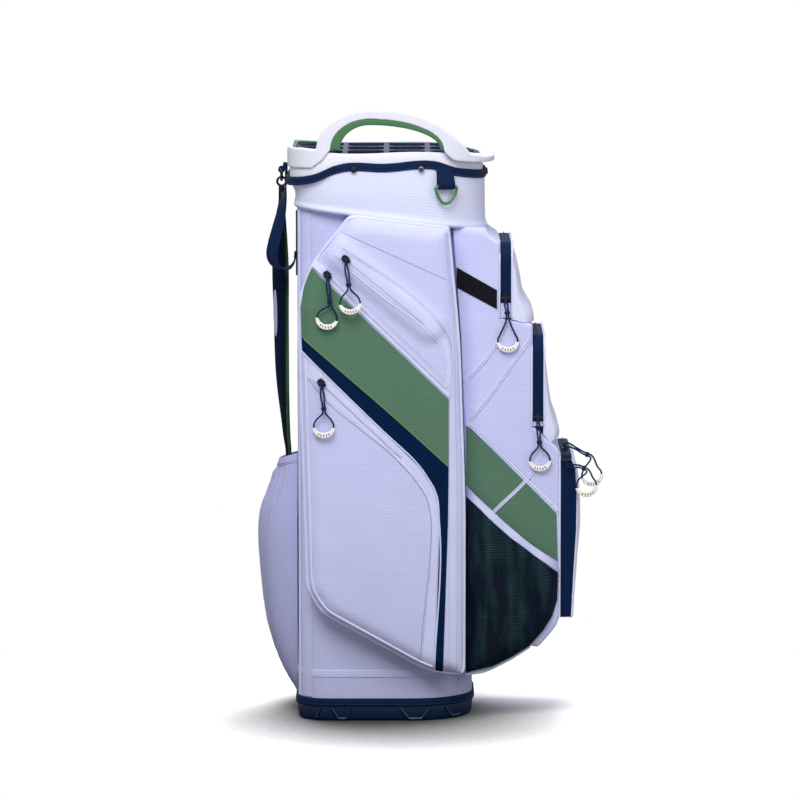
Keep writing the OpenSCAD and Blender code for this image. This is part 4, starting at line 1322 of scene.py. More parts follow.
@dataclass
class TubeBody:
    """Cloth tube between the base and the collar, with its dividers and stays inside."""

    shop: Workshop
    low: float = 30.0
    high: float = 791.0
    wall: float = 3.0
    bars: tuple[float, ...] = (-57, 4, 65)
    rows: tuple[float, ...] = (-40, 40)

    def build(self) -> None:
        """Builds the tube, its trim and the inner panels."""
        count = 46
        rings = []
        for k in range(count + 1):
            z = self.low + (self.high - self.low) * k / count
            ring = TUBE.ring(z)
            rings.append([p + off_axis(p) * 0.7 * ripple(p, 70) for p in ring])
        inner = [TUBE.ring(z, -self.wall) for z in (self.high, 600, 300, self.low)]
        self.shop.keep(Form().skin([*rings, *inner, rings[0]], capped=False), "tube_cloth", TUBE_CLOTH,
                       replaces=["body_tube"])
        self.trim()
        self.dividers()
        self.shop.dress(STAY, "stay_rods")

    def trim(self) -> None:
        """Sews the lower seam, the corner piping and the strips beside it."""
        hem = [TUBE.ring(z, g) for z, g in ((65.5, 0.2), (65.8, 0.9), (71, 1.3), (76.2, 0.9), (76.5, 0.2))]
        self.shop.keep(Form().skin([*hem, hem[0]], capped=False), "tube_hem", PLAIN_CLOTH)
        ridges, strips = Form(), Form()
        for side in Side:
            ridges.join(Form.tube([Vector((-124.6, side.value * 89.6, z)) for z in range(36, 765, 14)], 1.7))
            seam = [(115.0, 78.0), (113.0, 57.0), (111.0, 36.0)]
            path = [Vector((x, side.value * (TUBE.reach(x) + 0.7), z)) for x, z in seam]
            ridges.join(Form.tube(path, 1.4))
            outline = [(-121.5, 35.5), (-107, 35.5), (-107, 757), (-121.5, 757)]
            strips.join(Form.panel(outline, lambda x, z: TUBE.reach(x) + 0.5, side, 0.8, 4.8))
        self.shop.keep(ridges, "tube_piping", PIPING)
        self.shop.keep(strips, "tube_corner_strips", PLAIN_CLOTH)

    def dividers(self) -> None:
        """Hangs the lining panels between the club slots."""
        form = Form()
        box_low, box_high = (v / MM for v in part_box("divider_panels"))
        levels = [box_low.z + (box_high.z - box_low.z) * k / 12 for k in range(13)]
        for x in self.bars:
            reach = TUBE.reach(x, -self.wall - 2)
            line = [Vector((x, y, 0)) for y in self.spread(-reach, reach)]
            form.join(self.sheet(line, Vector((1, 0, 0)), levels))
        for y in self.rows:
            line = [Vector((x, y, 0)) for x in self.spread(4 - TUBE.back, TUBE.front - 14)]
            form.join(self.sheet(line, Vector((0, 1, 0)), levels))
        self.shop.keep(form, "divider_lining", LINING, replaces=["divider_panels"])

    @staticmethod
    def spread(low: float, high: float) -> list[float]:
        """Spreads thirteen places evenly."""
        return [low + (high - low) * k / 12 for k in range(13)]

    @staticmethod
    def sheet(line: list[Vector], across: Vector, levels: list[float]) -> Form:
        """Hangs one lining sheet that waves a little between its edges.

        Args:
            line: Points along the sheet's run.
            across: Direction of its thickness.
            levels: Heights of its rows.

        Returns:
            The sheet.
        """
        rings = []
        for z in levels:
            wave = [p + Vector((0, 0, z)) for p in line]
            front = [p + across * (0.9 + 2.2 * ripple(p, 110)) for p in wave]
            back = [p + across * (2.2 * ripple(p, 110) - 0.9) for p in reversed(wave)]
            rings.append([*front, *back])
        return Form().skin(rings)


@dataclass
class Cuff:
    """Cloth cuff below the collar, with its webbing binding, rivets and fold."""

    shop: Workshop
    mid: float = 751.0
    slope: float = -0.124
    binding: float = 12.5
    rivet_r: float = 4.4

    def low(self, x: float) -> float:
        """Gives the height of the folded lower edge."""
        return self.mid + self.slope * x

    def build(self) -> None:
        """Builds the cuff, its binding, its stitching and its rivets."""
        rings = []
        count = 18
        fold = [(-1.5, -2.5), (-2.4, -0.5), (-1.6, 1.6), (-0.2, 2.4), (2.5, 2.0), (5.0, 0.6)]
        for drop, grow in fold:
            rings.append(self.section(0.0).ring(lambda x, d=drop: self.low(x) + d, grow))
        for k in range(1, count + 1):
            t = k / count
            ring = self.section(t).ring(lambda x, t=t: self.height(x, t))
            swell = 0.8 * math.sin(math.pi * t)
            rings.append([p + off_axis(p) * (0.5 * ripple(p, 60) + swell) for p in ring])
        inner = [RIM.ring(lambda x: BINDING_LINE(x) - 5, 0.4),
                 self.section(0.0).ring(lambda x: self.low(x) + 12, -2.5)]
        self.shop.keep(Form().skin([*rings, *inner, rings[0]], capped=False), "cuff_cloth", CUFF_CLOTH,
                       replaces=["cuff"])
        # A darker line under the folded edge: painted shade below the fold.
        edge = self.section(0.0).ring(lambda x: self.low(x) - 2.6, 0.2)
        self.shop.keep(Form.tube(edge, 0.8, 6, True), "cuff_edge_seam", SEAM_SHADE)
        self.bind()
        self.rivets()

    def height(self, x: float, share: float) -> float:
        """Gives the height at a share of the way up the cuff."""
        low = self.low(x) + 5
        return low + (BINDING_LINE(x) - 6 - low) * share

    def section(self, share: float) -> DSection:
        """Gives the cuff's plan at a share of the way up; the back flares only under the binding.

        Args:
            share: Share of the way up.

        Returns:
            The plan.
        """
        rise = ease((self.height(0, share) - 721) / (789 - 721))
        wide = DSection(RIM.back + 2.3, RIM.front + 2.3, RIM.half + 2.3, RIM.rear_r + 2.3, RIM.front_r + 2.3)
        plan = CUFF_FOOT.between(wide, rise)
        back = CUFF_FOOT.back + (wide.back - CUFF_FOOT.back) * ease((share - 0.7) / 0.3)
        return DSection(back, plan.front, plan.half, plan.rear_r, plan.front_r)

    def bind(self) -> None:
        """Sews the webbing along the cuff's upper edge."""
        drop = self.binding
        edge = [(drop, 1.0), (drop, 3.6), (drop - 1, 4.6), (drop / 2, 5.0), (1.0, 4.6), (0.0, 3.6),
                (0.0, 1.0)]
        rings = [RIM.ring(lambda x, d=d: BINDING_LINE(x) - d, grow) for d, grow in edge]
        self.shop.keep(Form().skin([*rings, rings[0]], capped=False), "cuff_binding_web", NAVY_BAND,
                       replaces=["cuff_binding"])
        ring = RIM.ring(lambda x: BINDING_LINE(x) - drop + 2.4, 4.9)
        self.shop.keep(Form.stitches([*ring, ring[0]], off_axis, 5.5, 3.4, 0.45), "cuff_binding_stitches",
                       THREAD)

    def rivets(self) -> None:
        """Sets a domed rivet wherever the frame has one."""
        black, pale = Form(), Form()
        for spot in Form.from_mesh(self.shop.frame["nodes"]["collar_rivets"].data, 1 / MM).islands():
            out = Vector((spot.x if abs(spot.x) > 125 else 0.0, spot.y, 0)).normalized()
            target = pale if spot.y < 0 and 20 < spot.x < 120 else black
            target.join(self.dome(spot, out, self.rivet_r, 1.9))
            black.join(self.dome(spot + out * 0.6, out, self.rivet_r * 0.42, 1.5))
        self.shop.keep(black, "collar_rivet_heads", RIVET, replaces=["collar_rivets"])
        self.shop.keep(pale, "collar_rivet_ring", RIVET_RING)

    @staticmethod
    def dome(spot: Vector, out: Vector, radius: float, high: float) -> Form:
        """Turns one rivet head.

        Args:
            spot: Middle of its foot.
            out: Direction that it faces.
            radius: Its radius.
            high: Its height.

        Returns:
            The head.
        """
        across = out.cross(Vector((0, 0, 1))).normalized()
        up = across.cross(out)
        profile = [(-1.6, 0.98), (high * 0.3, 1.0), (high * 0.75, 0.86), (high, 0.55), (high * 0.9, 0.3)]
        return Form().skin([[spot + out * h + (across * a + up * b) * r for a, b in disc(radius, 24)]
                            for h, r in profile])


@dataclass
class Collar:
    """Moulded collar with the carry hoop, its grips and the club divider."""

    shop: Workshop
    hoop_centre: Flat = (-20.0, 851.0)
    hoop_rise: float = 58.0
    front_reach: float = 141.0
    rear_reach: float = 79.0
    band: float = 13.0
    grip: float = 9.0
    depth: float = 13.0
    crest: tuple[Flat, ...] = ((1, 0), (0.92, 0.2), (0.795, 0.46), (0.645, 0.715), (0.48, 0.87), (0.3, 0.97),
                               (0, 1))

    def build(self) -> None:
        """Builds the collar's parts."""
        wall = [(-1.4, 0), (-0.3, -0.6), (0, -1.6), (0, -3.2), (-0.4, -4.1), (-1.4, -4.5)]
        rings = [RIM.ring(lambda x, d=d: RIM_LINE(x) + d, grow) for d, grow in wall]
        feet = [RIM.ring(lambda x: BINDING_LINE(x) - 7, grow) for grow in (-4.5, 0.0)]
        self.shop.keep(Form().skin([feet[1], *rings, *feet], capped=False), "collar_wall", COLLAR,
                       replaces=["collar_ring"])
        self.hoop()
        self.grips()
        grid = Form.from_mesh(self.shop.frame["nodes"]["divider_grid"].data, 1 / MM)
        self.shop.keep(grid.carved(voxel=1.3, passes=7), "club_divider", GRID, replaces=["divider_grid"])

    def oval(self, grow: float) -> list[Flat]:
        """Draws the hoop's edge from its front foot over to its rear foot.

        Args:
            grow: How far inside the crest the edge runs.

        Returns:
            Points in X and Z.
        """
        rear = self.rear_reach - 1.6 * grow
        rise = self.hoop_rise - grow
        x, z = self.hoop_centre
        if grow > 0:
            front = self.front_reach - 1.6 * grow - 12
            turns = [math.radians(90 * k / 24) for k in range(24)]
            line = [(x + front * math.cos(t), z + rise * math.sin(t)) for t in turns]
        else:
            line = [(x + self.front_reach * p.x, z + rise * p.y) for p in smooth_line(self.crest, 0.04)[:-1]]
        turns = [math.radians(90 + 90 * k / 24) for k in range(25)]
        return line + [(x + rear * math.cos(t), z + rise * math.sin(t)) for t in turns]

    @staticmethod
    def block(outline: Sequence[Flat], y0: float, y1: float) -> Form:
        """Pushes a side view outline through the bag."""
        return Form().skin([[Vector((x, y, z)) for x, z in outline] for y in (y0, y1)])

    def mouth(self, z: float) -> list[Vector]:
        """Draws the collar's opening at a height: deep under the hoop, and thin on the far side."""
        pairs = zip(RIM.ring(z, -self.depth, FINE_RING), RIM.ring(z, -0.2, FINE_RING))
        return [deep.lerp(thin, ease((deep.y + 75) / 72)) for deep, thin in pairs]

    def hoop(self) -> None:
        """Carves the carry hoop and the rim that it grows from."""
        crest, window = self.oval(0.0), self.oval(self.band)
        z = RIM_Z
        rear_low = [(-300, z - 24), (-107, z - 23), (-97, z - 16), (-88, z - 8)]
        front_low = [(90, z), (97, z - 7), (105, z - 12), (126, z - 15), (147, z - 17), (300, z - 17)]
        lip = [(300, z - 10), (150, z - 8), (127, z - 3)]
        rear = [(-139, z + 7), (-300, z + 8)]
        side_view = [*rear_low, *reversed(window), *front_low, *lip, *crest, *rear]
        solid = Form().skin([LIP.ring(780.0, 0, FINE_RING), LIP.ring(960.0, 0, FINE_RING)])
        near = solid.carved(self.block(side_view, -300, 0), "INTERSECT")
        near = near.carved(Form().skin([self.mouth(700.0), self.mouth(970.0)]))
        under = [RIM.ring(700.0, 0, FINE_RING), RIM.ring(lambda x: RIM_LINE(x) - 0.3, 0, FINE_RING)]
        near = near.carved(Form().skin(under))
        far_low = Profile([(-160, -24), (-107, -23), (-70, -12), (80, -12), (105, -13), (147, -17),
                           (170, -17)], z)
        far = Form().skin([LIP.ring(far_low, 0, FINE_RING), LIP.ring(RIM_LINE, 0, FINE_RING)])
        far = far.carved(Form().skin([RIM.ring(700.0, -0.2, FINE_RING), RIM.ring(970.0, -0.2, FINE_RING)]))
        beyond = [(-300, 700), (300, 700), (300, 970), (-300, 970)]
        far = far.carved(self.block(beyond, -1, 300), "INTERSECT")
        self.shop.keep(near.join(far).carved(voxel=1.3, passes=9), "carry_hoop", COLLAR,
                       replaces=["halo_hoop"])

    def grips(self) -> None:
        """Lays the soft grips under the hoop and inside the rear rim."""
        top, under = self.oval(self.band), self.oval(self.band + self.grip)
        ahead = max(p[0] for p in top) - 5 - self.hoop_centre[0]
        scale = ahead / (max(p[0] for p in under) - self.hoop_centre[0])
        under = [(self.hoop_centre[0] + max(0.0, x - self.hoop_centre[0]) * scale
                  + min(0.0, x - self.hoop_centre[0]), z) for x, z in under]
        solid = Form().skin([LIP.ring(RIM_Z, -1.0, FINE_RING), LIP.ring(RIM_Z + 90, -1.0, FINE_RING)])
        core = [RIM.ring(z, -14.5, FINE_RING) for z in (800.0, 970.0)]
        pad = solid.carved(Form().skin(core))
        pad = pad.carved(self.block([*top, *reversed(under)], -300, 0), "INTERSECT")
        self.shop.keep(pad.carved(voxel=1.0, passes=14), "hoop_grip_pad", RUBBER, replaces=["hoop_grip"])
        rear = Form.from_mesh(self.shop.frame["nodes"]["rear_grip"].data, 1 / MM)
        self.shop.keep(rear.carved(voxel=1.0, passes=8), "rear_grip_pad", RUBBER, replaces=["rear_grip"])


@dataclass
class SidePocket:
    """Long side pocket: a full cloth shell with sewn panels, zips and piping."""

    shop: Workshop
    side: Side
    face: float = 155.0
    edge: float = 26.0
    inner: float = 70.0
    welt: float = 7.5
    bulge: float = 2.2
    outline: tuple[Flat, ...] = ((-115, 202), (-92, 165), (66, 77), (121, 72), (121, 330), (113, 570),
                                 (97, 738.6), (-50, 756.8), (-110, 682), (-128, 625))
    cuts: tuple[float, ...] = (14, 14, 30, 12, 40, 40, 6, 10, 30, 30)
    upper_zip: tuple[Flat, Flat] = ((-55, 693), (56, 602))
    band_zip: tuple[Flat, Flat] = ((-82, 669), (90, 504))
    lower_zip: tuple[Flat, Flat] = ((-91, 510), (24, 402))

    def inside(self, x: float, z: float) -> float:
        """Measures how far inside the outline a place is.

        Args:
            x: Place along the bag.
            z: Height.

        Returns:
            The least distance from an edge's line, negative outside.
        """
        spot = Vector((x, z))
        least = 1e9
        for a, b in zip(self.outline, (*self.outline[1:], self.outline[0])):
            along = (Vector(b) - Vector(a)).normalized()
            least = min(least, Vector((-along.y, along.x)).dot(spot - Vector(a)))
        return least

    def level(self, x: float, z: float) -> float:
        """Gives how far out the pocket's cloth stands at a place.

        Args:
            x: Place along the bag.
            z: Height.

        Returns:
            The distance from the bag's middle plane.
        """
        depth = max(0.0, min(self.edge, self.inside(x, z)))
        drop = self.edge - math.sqrt(self.edge ** 2 - (self.edge - depth) ** 2)
        a, b = (Vector(p) for p in self.upper_zip)
        along = max(-0.12, min(1.1, (Vector((x, z)) - a).dot(b - a) / (b - a).length_squared))
        gap = (Vector((x, z)) - a.lerp(b, along)).length
        rise = self.welt * ease((29 - gap) / 19)
        full = self.bulge * ease(1 - abs(x + 32) / 85) * ease(1 - abs(z - 270) / 170)
        return self.face - drop + rise + full + 0.35 * ripple(Vector((x, z, 40.0 * self.side.value)), 45)

    def over(self, lift: float) -> Surface:
        """Gives the surface a lift above the cloth."""
        return lambda x, z: self.level(x, z) + lift

    def line(self, points: Sequence[Flat], lift: float, smooth: bool = True) -> list[Vector]:
        """Lays a line of points on the cloth."""
        flat = smooth_line(points, 5.0) if smooth else spaced([Vector(p) for p in points], 60)
        return [Vector((p.x, self.side.value * (self.level(p.x, p.y) + lift), p.y)) for p in flat]

    def named(self, name: str) -> str:
        """Puts the side before a piece's name."""
        return f"{self.side.name.lower()}_{name}"

    def build(self) -> None:
        """Builds the shell and everything sewn to it."""
        self.shell()
        self.panels()
        self.zips()
        self.piping()

    def shell(self) -> None:
        """Builds the cloth shell with its rounded edge."""

        def ring(inset: float, level: float) -> list[Vector]:
            """Draws the outline at a level.

            Args:
                inset: How far inside the outline.
                level: How far out it stands.

            Returns:
                Points round the outline.
            """
            cuts = [max(c - inset * 0.4, 3.0) for c in self.cuts]
            flat = rounded(drawn_in(self.outline, inset), cuts)
            return [Vector((x, self.side.value * level, z)) for x, z in flat]

        rings = [ring(0.0, self.inner), ring(0.0, 100.0), ring(0.0, self.face - self.edge)]
        for k in range(1, 10):
            turn = math.radians(10 * k)
            level = self.face - self.edge + self.edge * math.sin(turn)
            rings.append(ring(self.edge * (1 - math.cos(turn)), level))
        form = Form().skin(rings, capped=False)
        cuts = [max(c - self.edge * 0.4, 3.0) for c in self.cuts]
        front = rounded(drawn_in(self.outline, self.edge), cuts)
        form.join(Form.panel(front, self.over(-2.0), self.side, 2.0))
        self.shop.keep(form, self.named("pocket_shell"), PLAIN_CLOTH,
                       replaces=[self.named("side_pocket"), self.named("zip_welt")])

    def panels(self) -> None:
        """Sews the cloth panels on the shell."""
        upper = [(-97, 687), (-47, 750), (88, 733), (95, 650), (98, 560), (98, 498)]
        yoke = [(-62, 732.5), (-47, 750.5), (88, 733.5), (94.5, 661.5)]
        green = [(-105.5, 679), (95.6, 485.5), (95.5, 386.5), (22.5, 452.7), (-120.8, 578.5), (-121.5, 619),
                 (-117.5, 650)]
        navy = [(-120.8, 577.5), (22.5, 452.2), (95.5, 386), (94.6, 302.6), (87.3, 79), (75.5, 81),
                (82.8, 302.6), (78.4, 345.3), (59.3, 379.2), (1.2, 438), (-14.2, 452.7), (-119.5, 554)]
        lower = [(-118, 524), (-81.2, 480), (-32.5, 439.5), (6.9, 407.6), (44.4, 368.3), (62.8, 340),
                 (70, 308), (70, 271.8), (66, 224.7), (58, 147.6), (53.5, 92), (-3, 123), (-84, 169),
                 (-103, 205), (-110, 380)]
        gusset = [(97, 81), (117.5, 79), (118, 330), (112.5, 480), (109.5, 570), (103, 660), (97.5, 729),
                  (91, 730), (96.5, 660), (99.5, 600), (99.5, 500), (97.5, 480), (97.5, 386)]
        pieces = [("upper_panel", upper, 0.0, 0.6, POCKET_CLOTH),
                  ("yoke_panel", yoke, 0.6, 1.1, POCKET_CLOTH),
                  ("green_panel", green, 0.4, 1.1, GREEN_CLOTH), ("navy_panel", navy, 0.4, 1.1, NAVY_CLOTH),
                  ("lower_panel", lower, 0.0, 0.7, POCKET_CLOTH),
                  ("gusset_strip", gusset, 0.1, 0.9, WHITE_TAPE)]
        for name, outline, lift, thick, finish in pieces:
            form = Form.panel(outline, self.over(lift), self.side, thick, 6.0)
            self.shop.keep(form, self.named(name), finish)

    def zips(self) -> None:
        """Sews the zip tapes, their end tabs and their coils."""
        upper = [(-60, 707), (35, 641.4), (78.2, 600), (94, 572), (99, 542), (99, 506), (93, 506), (93, 536),
                 (88, 562), (73.4, 583), (52, 603), (10, 633), (-46, 678), (-62, 694)]
        band = [(-107.5, 684), (96, 488), (99, 496), (-98, 690.5)]
        lower = [(-119.5, 553), (-14.2, 450.7), (1.2, 436), (57.8, 377.5), (76.4, 345), (80.6, 302.6),
                 (73.6, 84), (56, 92), (60.5, 147.6), (68.5, 224.7), (72, 271.8), (72, 310), (65, 342),
                 (46, 370.5), (8.5, 410), (-31, 442), (-80, 482.5), (-117, 527)]
        form = Form()
        for outline, lift in ((upper, 0.5), (band, 0.4), (lower, 0.1)):
            form.join(Form.panel(outline, self.over(lift), self.side, 0.6, 5.0))
        coils, tabs = Form(), Form()
        for zip_line in (self.upper_zip, self.band_zip, self.lower_zip):
            a, b = (Vector(p) for p in zip_line)
            reach = (b - a).normalized()
            ends = [tuple(a - reach * 9), tuple(b + reach * 3)]
            coils.join(Form.sweep(self.line(ends, 0.95, smooth=False), strap_section(3.4, 0.8, 0.25)))
            across = Vector((-reach.y, reach.x))
            corners = [a - reach * 19 - across * 6, a - reach * 6 - across * 6, a - reach * 6 + across * 6,
                       a - reach * 19 + across * 6]
            tabs.join(Form.panel([tuple(c) for c in corners], self.over(1.0), self.side, 0.7, 4.0))
        self.shop.keep(form.join(tabs), self.named("zip_tapes"), WHITE_TAPE, replaces=[self.named("zips")])
        self.shop.keep(coils, self.named("zip_coils"), WHITE_TEETH)

    def piping(self) -> None:
        """Sews the piping, the raised seam ridges and darker lines of painted shade beside them."""
        outer = rounded(drawn_in(self.outline, 2.6), self.cuts)
        low = rounded(drawn_in(self.outline, 9.5), self.cuts)
        inner = [(-115.3, 545), (-111, 400), *[p for p in low if p[1] < 260 and p[0] < 78]]
        welt = [Vector((x, self.side.value * self.level(x, z), z)) for x, z in (*outer, outer[0])]
        edge = [(-61, 708), (35, 642.6), (78.8, 601), (95, 572.5), (100, 542), (100.4, 522)]
        low_edge = self.beside([(-44, 676), (10, 632), (52, 602), (73, 582.5), (87.5, 561.5), (92.3, 540)],
                               -3.2)
        band_low, band_high = [(-107, 683), (96, 487)], [(-96, 692.4), (88, 515.4)]
        seam = [(-117, 526), (-80.5, 481.5), (-32, 441), (7.5, 409), (45, 369.5), (63.8, 341), (71, 309),
                (71, 271.8), (67.2, 224.7), (59.2, 147.6), (55, 93)]
        ridges = Form()
        ridges.join(Form.tube(spaced(welt, 260), 2.4))
        ridges.join(Form.tube(self.line(inner, 0.9, smooth=False), 1.9))
        for points in (edge, low_edge, band_high, seam):
            ridges.join(Form.tube(self.line(points, 0.76), 0.8))
        trim = [(-120, 556), (-14.4, 452), (1, 437.2), (58.8, 378.6), (77.6, 345), (82, 302.6), (74.8, 82)]
        ridges.join(Form.tube(self.line(trim, 0.9), 1.3))
        self.shop.keep(ridges, self.named("pocket_piping"), PIPING)
        # The darker lines beside the piping are painted shade along each seam.
        middle = [(107.5, 84), (108, 330), (105.5, 470), (104, 560), (99.5, 650), (94, 728)]
        seam_shade = Form()
        for points, across in ((seam, -1.7), (edge, 1.7), (band_high, 1.6), (band_low, 0.6),
                               (middle, 0.0)):
            shifted = self.beside(points, across)
            seam_shade.join(Form.tube(self.line(shifted, 0.7), 0.55, 6))
        self.shop.keep(seam_shade, self.named("pocket_seams"), SEAM_SHADE)
        lime = [(-117.5, 574.8), (22.5, 452.6), (95.5, 386)]
        self.shop.keep(Form.tube(self.line(lime, 1.35), 0.85), self.named("lime_piping"), LIME_PIPING)

    @staticmethod
    def beside(points: Sequence[Flat], across: float) -> list[Flat]:
        """Moves a line to its left, seen along it with Z up.

        Args:
            points: The line.
            across: How far it moves.

        Returns:
            The moved line.
        """
        spots = [Vector(p) for p in points]
        moved = []
        for i, spot in enumerate(spots):
            ahead = (spots[min(i + 1, len(spots) - 1)] - spots[max(i - 1, 0)]).normalized()
            moved.append((spot.x - ahead.y * across, spot.y + ahead.x * across))
        return moved


@dataclass(frozen=True)
class FrontZip:
    """One front pocket's zip band: its place, its ends in Z and where its navy tape begins."""

    x: float
    low: float
    top: float
    navy: float
    wide: float = 16.0
    corner: float = 28.0


@dataclass
class FrontPockets:
    """Three front pockets: a cloth body, navy zip bands, padded covers and piping."""

    shop: Workshop
    half: float = 105.0
    rear: float = 121.6
    upper: FrontZip = FrontZip(172, 600, 712, 623)
    middle: FrontZip = FrontZip(220, 439, 575, 447)
    ball: FrontZip = FrontZip(262, 153, 398, 155, corner=12)

    def build(self) -> None:
        """Builds the body, the bands, the covers and the trim."""
        self.body()
        for name, band in (("upper", self.upper), ("middle", self.middle), ("ball", self.ball)):
            self.band(name, band)
        self.covers()
        self.trim()
        self.patch()

    def level(self, x: float, z: float) -> float:
        """Gives how far out the near face stands at a place."""
        return self.half + 0.5 * ripple(Vector((x, z, 9.0)), 40)

    def body(self) -> None:
        """Builds the cloth body that the pockets are sewn to."""
        outline = [(self.rear, 66), (140, 69), (168, 79), (192, 93), (219, 111), (229, 108), (262, 147),
                   (262, 398), (254, 411), (220, 440), (220, 592), (172, 600), (172, 712), (156, 723),
                   (150, 731.9), (101, 738), (114, 571), (self.rear, 331)]
        cuts = [2, 8, 12, 12, 4, 6, 18, 5, 5, 6, 6, 6, 5, 5, 3, 2, 6, 6]
        flat = [(d - self.half, inset) for d, inset in ((0, 5.0), (0.7, 2.6), (2.4, 0.8), (5.0, 0.0))]
        rings = []
        for y, inset in flat + [(-y, inset) for y, inset in reversed(flat)]:
            points = rounded(drawn_in(outline, inset), cuts, 3)
            rings.append([Vector((x, y, z)) for x, z in points])
        self.shop.keep(Form().skin(rings), "front_body_cloth", PLAIN_CLOTH, replaces=["front_body"])

    def loop(self, band: FrontZip, x: float, out: float, low: float) -> list[Vector]:
        """Draws a line up one side of a band, over its top and down the other.

        Args:
            band: The zip band.
            x: Where the line runs.
            out: How far outside the band's frame it runs.
            low: Height of its two ends.

        Returns:
            The line.
        """
        reach, top, r = self.half + out, band.top + out, band.corner
        line = [Vector((x, -reach, low + (top - r - low) * k / 10)) for k in range(10)]
        turns = [math.radians(90 * k / 8) for k in range(9)]
        near = [Vector((x, r - reach - r * math.cos(t), top - r + r * math.sin(t))) for t in turns]
        middle = [Vector((x, (reach - r) * k / 5, top)) for k in range(-4, 5)]
        return [*line, *near, *middle, *[Vector((p.x, -p.y, p.z)) for p in reversed([*line, *near])]]

    def band(self, name: str, band: FrontZip) -> None:
        """Builds one zip band with its coil and the piping on both edges.

        Args:
            name: The pocket's name.
            band: The zip's sizes.
        """
        wide = band.wide
        base = [(0.0, -2.6), (2.0, -1.3), (wide / 2, -1.2), (wide - 2, -1.3), (wide, -2.6)]
        ground = Form().skin([self.loop(band, band.x + dx, out, band.low + 1) for dx, out in base])
        self.shop.keep(ground, f"{name}_zip_ground", PLAIN_CLOTH, replaces=[f"{name}_zip_band"])
        edge = [(-0.4, -3.4), (0.4, -1.3), (2.2, -0.6), (wide / 2, -0.5), (wide - 2.2, -0.6),
                (wide - 0.4, -1.3), (wide + 0.4, -3.4)]
        tape = Form().skin([self.loop(band, band.x + dx, out, band.navy) for dx, out in edge])
        self.shop.keep(tape, f"{name}_zip_tape", NAVY_TAPE)
        coil = Form.sweep(self.loop(band, band.x + wide / 2, -0.55, band.navy + 2), strap_section(3.6, 1.0))
        self.shop.keep(coil, f"{name}_zip_coil", NAVY_TEETH)
        ridges = Form()
        for dx in (-1.4,) if band is self.ball else (-1.4, wide + 1.4):
            ridges.join(Form.tube(self.loop(band, band.x + dx, -0.6, band.low + 1), 1.6))
        self.shop.keep(ridges, f"{name}_zip_piping", PIPING)

    def cover(self, name: str, outline: Sequence[Flat], soft: float, rear: float, foot: float) -> None:
        """Builds a padded pocket cover from its side view.

        Args:
            name: The pocket.
            outline: Side view of its fullest part, from its foot round to its top.
            soft: How far in from its sides the cover fills out.
            rear: X of the zip band that it is sewn to.
            foot: Share of the fullness left at its sides.
        """
        reach = self.half - 0.6
        smooth = [(p.x, p.y) for p in smooth_line(outline[1:-1], 7.0)]
        flat = [outline[0], *smooth, outline[-1]]
        low, top = outline[0][1], outline[-1][1]
        rings = []
        count = 44
        for k in range(count + 1):
            y = reach * math.cos(math.pi * k / count)
            t = min(1.0, (reach - abs(y)) / soft)
            curve = math.sqrt(max(0.0, 1 - (1 - t) ** 2))
            full = foot + (1 - foot) * curve
            drop = (1 - curve) * 14
            ring = []
            for x, z in flat:
                share = max(0.0, min(1.0, (z - low) / (top - low)))
                swell = 0.8 * ripple(Vector((x * 0.6, y, z)), 34) * min(1.0, (x - rear) / 6)
                ring.append(Vector((rear + (x - rear) * full + swell, y, z - drop * share)))
            rings.append(ring)
        piece = self.shop.keep(Form().skin(rings), f"{name}_cover_pad", COVER_CLOTH,
                               replaces=[f"{name}_cover"])

    def covers(self) -> None:
        """Builds the three padded covers."""
        x = self.upper.x + self.upper.wide
        upper = [(0, 599), (34.5, 594), (34, 604), (29, 614), (20, 630), (13, 664), (7, 690), (3, 700),
                 (0, 705)]
        self.cover("upper", [(x + dx, z) for dx, z in upper], 40, x, 0.5)
        x = self.middle.x + self.middle.wide
        middle = [(0, 428), (17, 415), (24, 422), (24, 434), (19, 449), (13, 469), (8.5, 494), (6, 520),
                  (3, 544), (0, 569)]
        self.cover("middle", [(x + dx, z) for dx, z in middle], 34, x, 0.6)
        x = self.ball.x + self.ball.wide
        ball = [(0, 152), (4, 155.5), (8.5, 227), (13, 284), (13, 335), (10, 372), (5, 390), (0, 396)]
        self.cover("ball", [(x + dx, z) for dx, z in ball], 30, x, 0.5)
        gusset = [(0, 156), (0.8, 156), (4.5, 227), (8, 284), (8.5, 340), (6.5, 376), (0, 392)]
        outline = [(x - 1 + dx, z) for dx, z in gusset]
        side = Form.panel(outline, lambda x, z: self.half - 1.2, thick=0.7, step=5)
        self.shop.keep(side, "ball_zip_gusset", NAVY_TAPE)

    def line(self, points: Sequence[Flat], lift: float) -> list[Vector]:
        """Lays a smooth line on the near face."""
        flat = smooth_line(points, 5.0)
        return [Vector((p.x, -(self.level(p.x, p.y) + lift), p.y)) for p in flat]

    def trim(self) -> None:
        """Sews the near face's panels and piping."""
        rear = self.rear
        green = [(rear, 440), (131, 434), (256, 309), (258, 238), (213.5, 267.8), (161.7, 313.7),
                 (rear, 352)]
        self.shop.keep(Form.panel(green, self.level, thick=1.0, step=6), "front_green_panel", GREEN_CLOTH)
        side = [(rear, 448), (131, 442), (258, 322), (258, 400), (250, 410), (217, 437), (217, 588),
                (169, 599), (169, 708), (150, 722), (103, 730), (114.5, 571), (119, 470)]
        self.shop.keep(Form.panel(side, self.level, thick=0.6, step=6), "front_side_panel", POCKET_CLOTH)
        lines = [[(118.5, 506), (146, 534), (168, 563)], [(rear, 441), (150, 477), (216, 569)],
                 [(239, 417), (225, 380), (162, 311)], [(rear, 447), (131, 438), (257, 313)]]
        # Each line gets two piping ridges, and between them a darker line of painted shade along its seam.
        ridges, seam_shade = Form(), Form()
        for points in lines:
            for across in (-1.5, 1.5):
                ridges.join(Form.tube(self.line(SidePocket.beside(points, across), 1.1), 1.2, 6))
            seam_shade.join(Form.tube(self.line(points, 0.8), 0.7, 6))
        self.shop.keep(ridges, "front_face_piping", PIPING)
        self.shop.keep(seam_shade, "front_face_seams", SEAM_SHADE)

